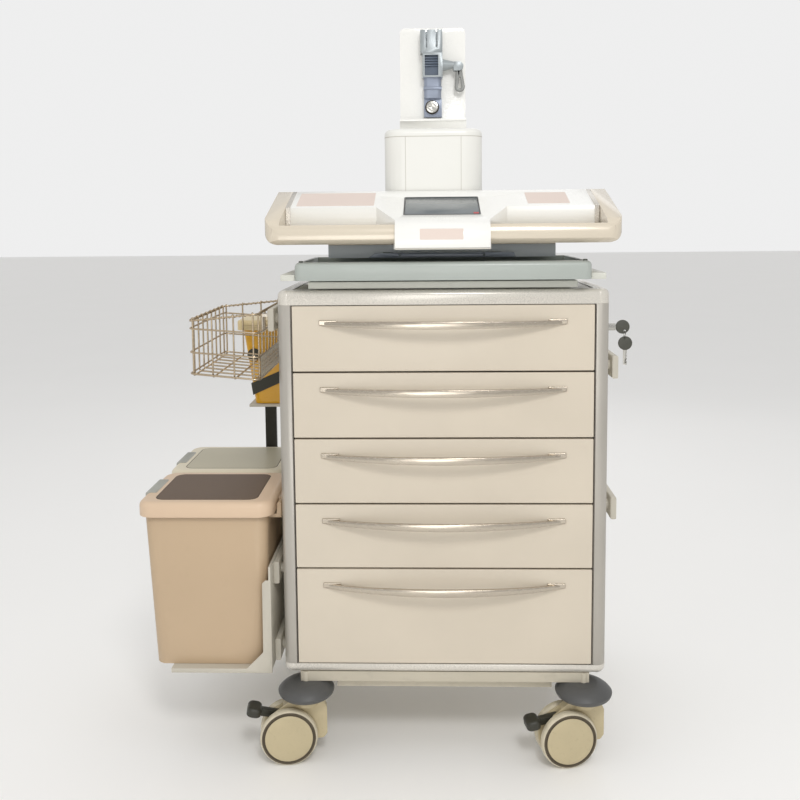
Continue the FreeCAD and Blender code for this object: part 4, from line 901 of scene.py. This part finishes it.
def sharps_details():
    """The strap and buckle round the yellow box, and ribs on its lid."""
    band = strap(*STRAP_ENDS, 30, 1.8)
    piece("sharps_strap", [band], "sharps_box", "strap_webbing", bevel=0.6)
    front = span("sharps_container")[1][0] + sharps_lean(BUCKLE_Z)[1]
    profile = [(16.5, 0), (16.5, 4.6), (15.3, 5.8), (5.5, 5.8)]
    buckle = lathe(profile, (BUCKLE_X, front + 1, BUCKLE_Z), (0, -1, 0), 40)
    piece("sharps_buckle", [buckle], "sharps_box", "strap_webbing")
    head = screw(BUCKLE_X, front - 4.6, BUCKLE_Z, (0, -1, 0), 4.5, 2.4)
    piece("sharps_buckle_screw", [head], "sharps_box", "screw_steel", angle=50)
    (x0, x1), (y0, y1), (z0, z1) = span("sharps_lid")
    ribs = [block((x0 + 16, x1 - 16), (y0, y0 + 1.0), (z, z + 1.6)) for z in (z0 + 6, z0 + 12)]
    for y in range(int(y0) + 18, int(y1) - 14, 12):
        ribs.append(block((x0 + 22, x1 - 22), (y, y + 3), (z1 - 0.5, z1 - 0.02)))
    piece("sharps_lid_ribs", ribs, "sharps_box_lid", "sharps_lid_plastic", bevel=0.3)


# ---------------------------------------------------------------- stage

def area_light(name, position, target, size, power):
    """A round white light, in the frame's metres, that the camera doesn't see."""
    light = bpy.data.lights.new(name, "AREA")
    light.shape = "DISK"
    light.size = size
    light.energy = power
    obj = bpy.data.objects.new(name, light)
    obj.location = position
    obj.rotation_mode = "QUATERNION"
    obj.rotation_quaternion = (Vector(target) - Vector(position)).to_track_quat("-Z", "Y")
    obj.visible_camera = False
    bpy.context.scene.collection.objects.link(obj)


def stage():
    """The white room: a world that is pale grey to the camera, a floor and five lights."""
    scene = bpy.context.scene
    scene.view_settings.view_transform = "Standard"
    world = bpy.data.worlds.new("studio")
    scene.world = world
    world.use_nodes = True
    nodes, links = world.node_tree.nodes, world.node_tree.links
    background = nodes["Background"]
    background.inputs["Color"].default_value = (1.0, 1.0, 1.0, 1)
    background.inputs["Strength"].default_value = 0.7
    seen = nodes.new("ShaderNodeBackground")
    seen.inputs["Color"].default_value = (0.86, 0.86, 0.86, 1)
    seen.inputs["Strength"].default_value = 1.0
    rays = nodes.new("ShaderNodeLightPath")
    mix = nodes.new("ShaderNodeMixShader")
    links.new(rays.outputs["Is Camera Ray"], mix.inputs["Fac"])
    links.new(background.outputs["Background"], mix.inputs[1])
    links.new(seen.outputs["Background"], mix.inputs[2])
    links.new(mix.outputs["Shader"], nodes["World Output"].inputs["Surface"])

    mesh = bpy.data.meshes.new("floor")
    reach = 30.0
    mesh.from_pydata([(-reach, -reach, 0), (reach, -reach, 0), (reach, reach, 0), (-reach, reach, 0)], [],
                     [(0, 1, 2, 3)])
    floor = bpy.data.objects.new("floor", mesh)
    scene.collection.objects.link(floor)
    surface("floor_paint", (250, 249, 247), 0.6, mottle=0.006, mottle_scale=1.5, grain=0.02, grain_scale=200)
    floor.data.materials.append(MATERIALS["floor_paint"])

    area_light("key", (0.5, -2.7, 2.9), (0.0, 0, 0.7), 0.8, 34)
    area_light("overhead", (0.0, 0.6, 4.2), (0.0, 0.6, 0.0), 5.0, 14)
    area_light("front_fill", (0.0, -3.4, 0.8), (0.1, 0, 1.0), 1.3, 12)
    area_light("left_fill", (-2.8, -1.8, 1.8), (0, 0, 0.8), 2.4, 3)
    area_light("back_fill", (0.6, 3.2, 2.4), (0, 0, 0.9), 2.4, 8)


def camera():
    """A camera close to the photograph's, pitched down a little more and shifted less."""
    scene = bpy.context.scene
    data = bpy.data.cameras.new("camera")
    data.sensor_width = 36.0
    data.lens = LENS
    data.shift_y = SHIFT_Y
    obj = bpy.data.objects.new("camera", data)
    scene.collection.objects.link(obj)
    obj.location = place(*CAMERA)
    pitch, yaw, roll = (math.radians(v) for v in CAMERA_TURN)
    look = Vector((math.sin(yaw) * math.cos(pitch), math.cos(yaw) * math.cos(pitch), -math.sin(pitch)))
    turn = look.to_track_quat("-Z", "Y")
    obj.rotation_mode = "QUATERNION"
    obj.rotation_quaternion = turn @ Quaternion((0, 0, 1), roll)
    scene.camera = obj


palette()
dress_cabinet()
dress_castors()
dress_top()
dress_sides()
post_gap_shade()
screws()
handle_feet()
bumper_details()
console_trims()
console_details()
column_details()
knob_details()
tray_details()
bin_details()
basket()
sharps_details()
stage()
camera()
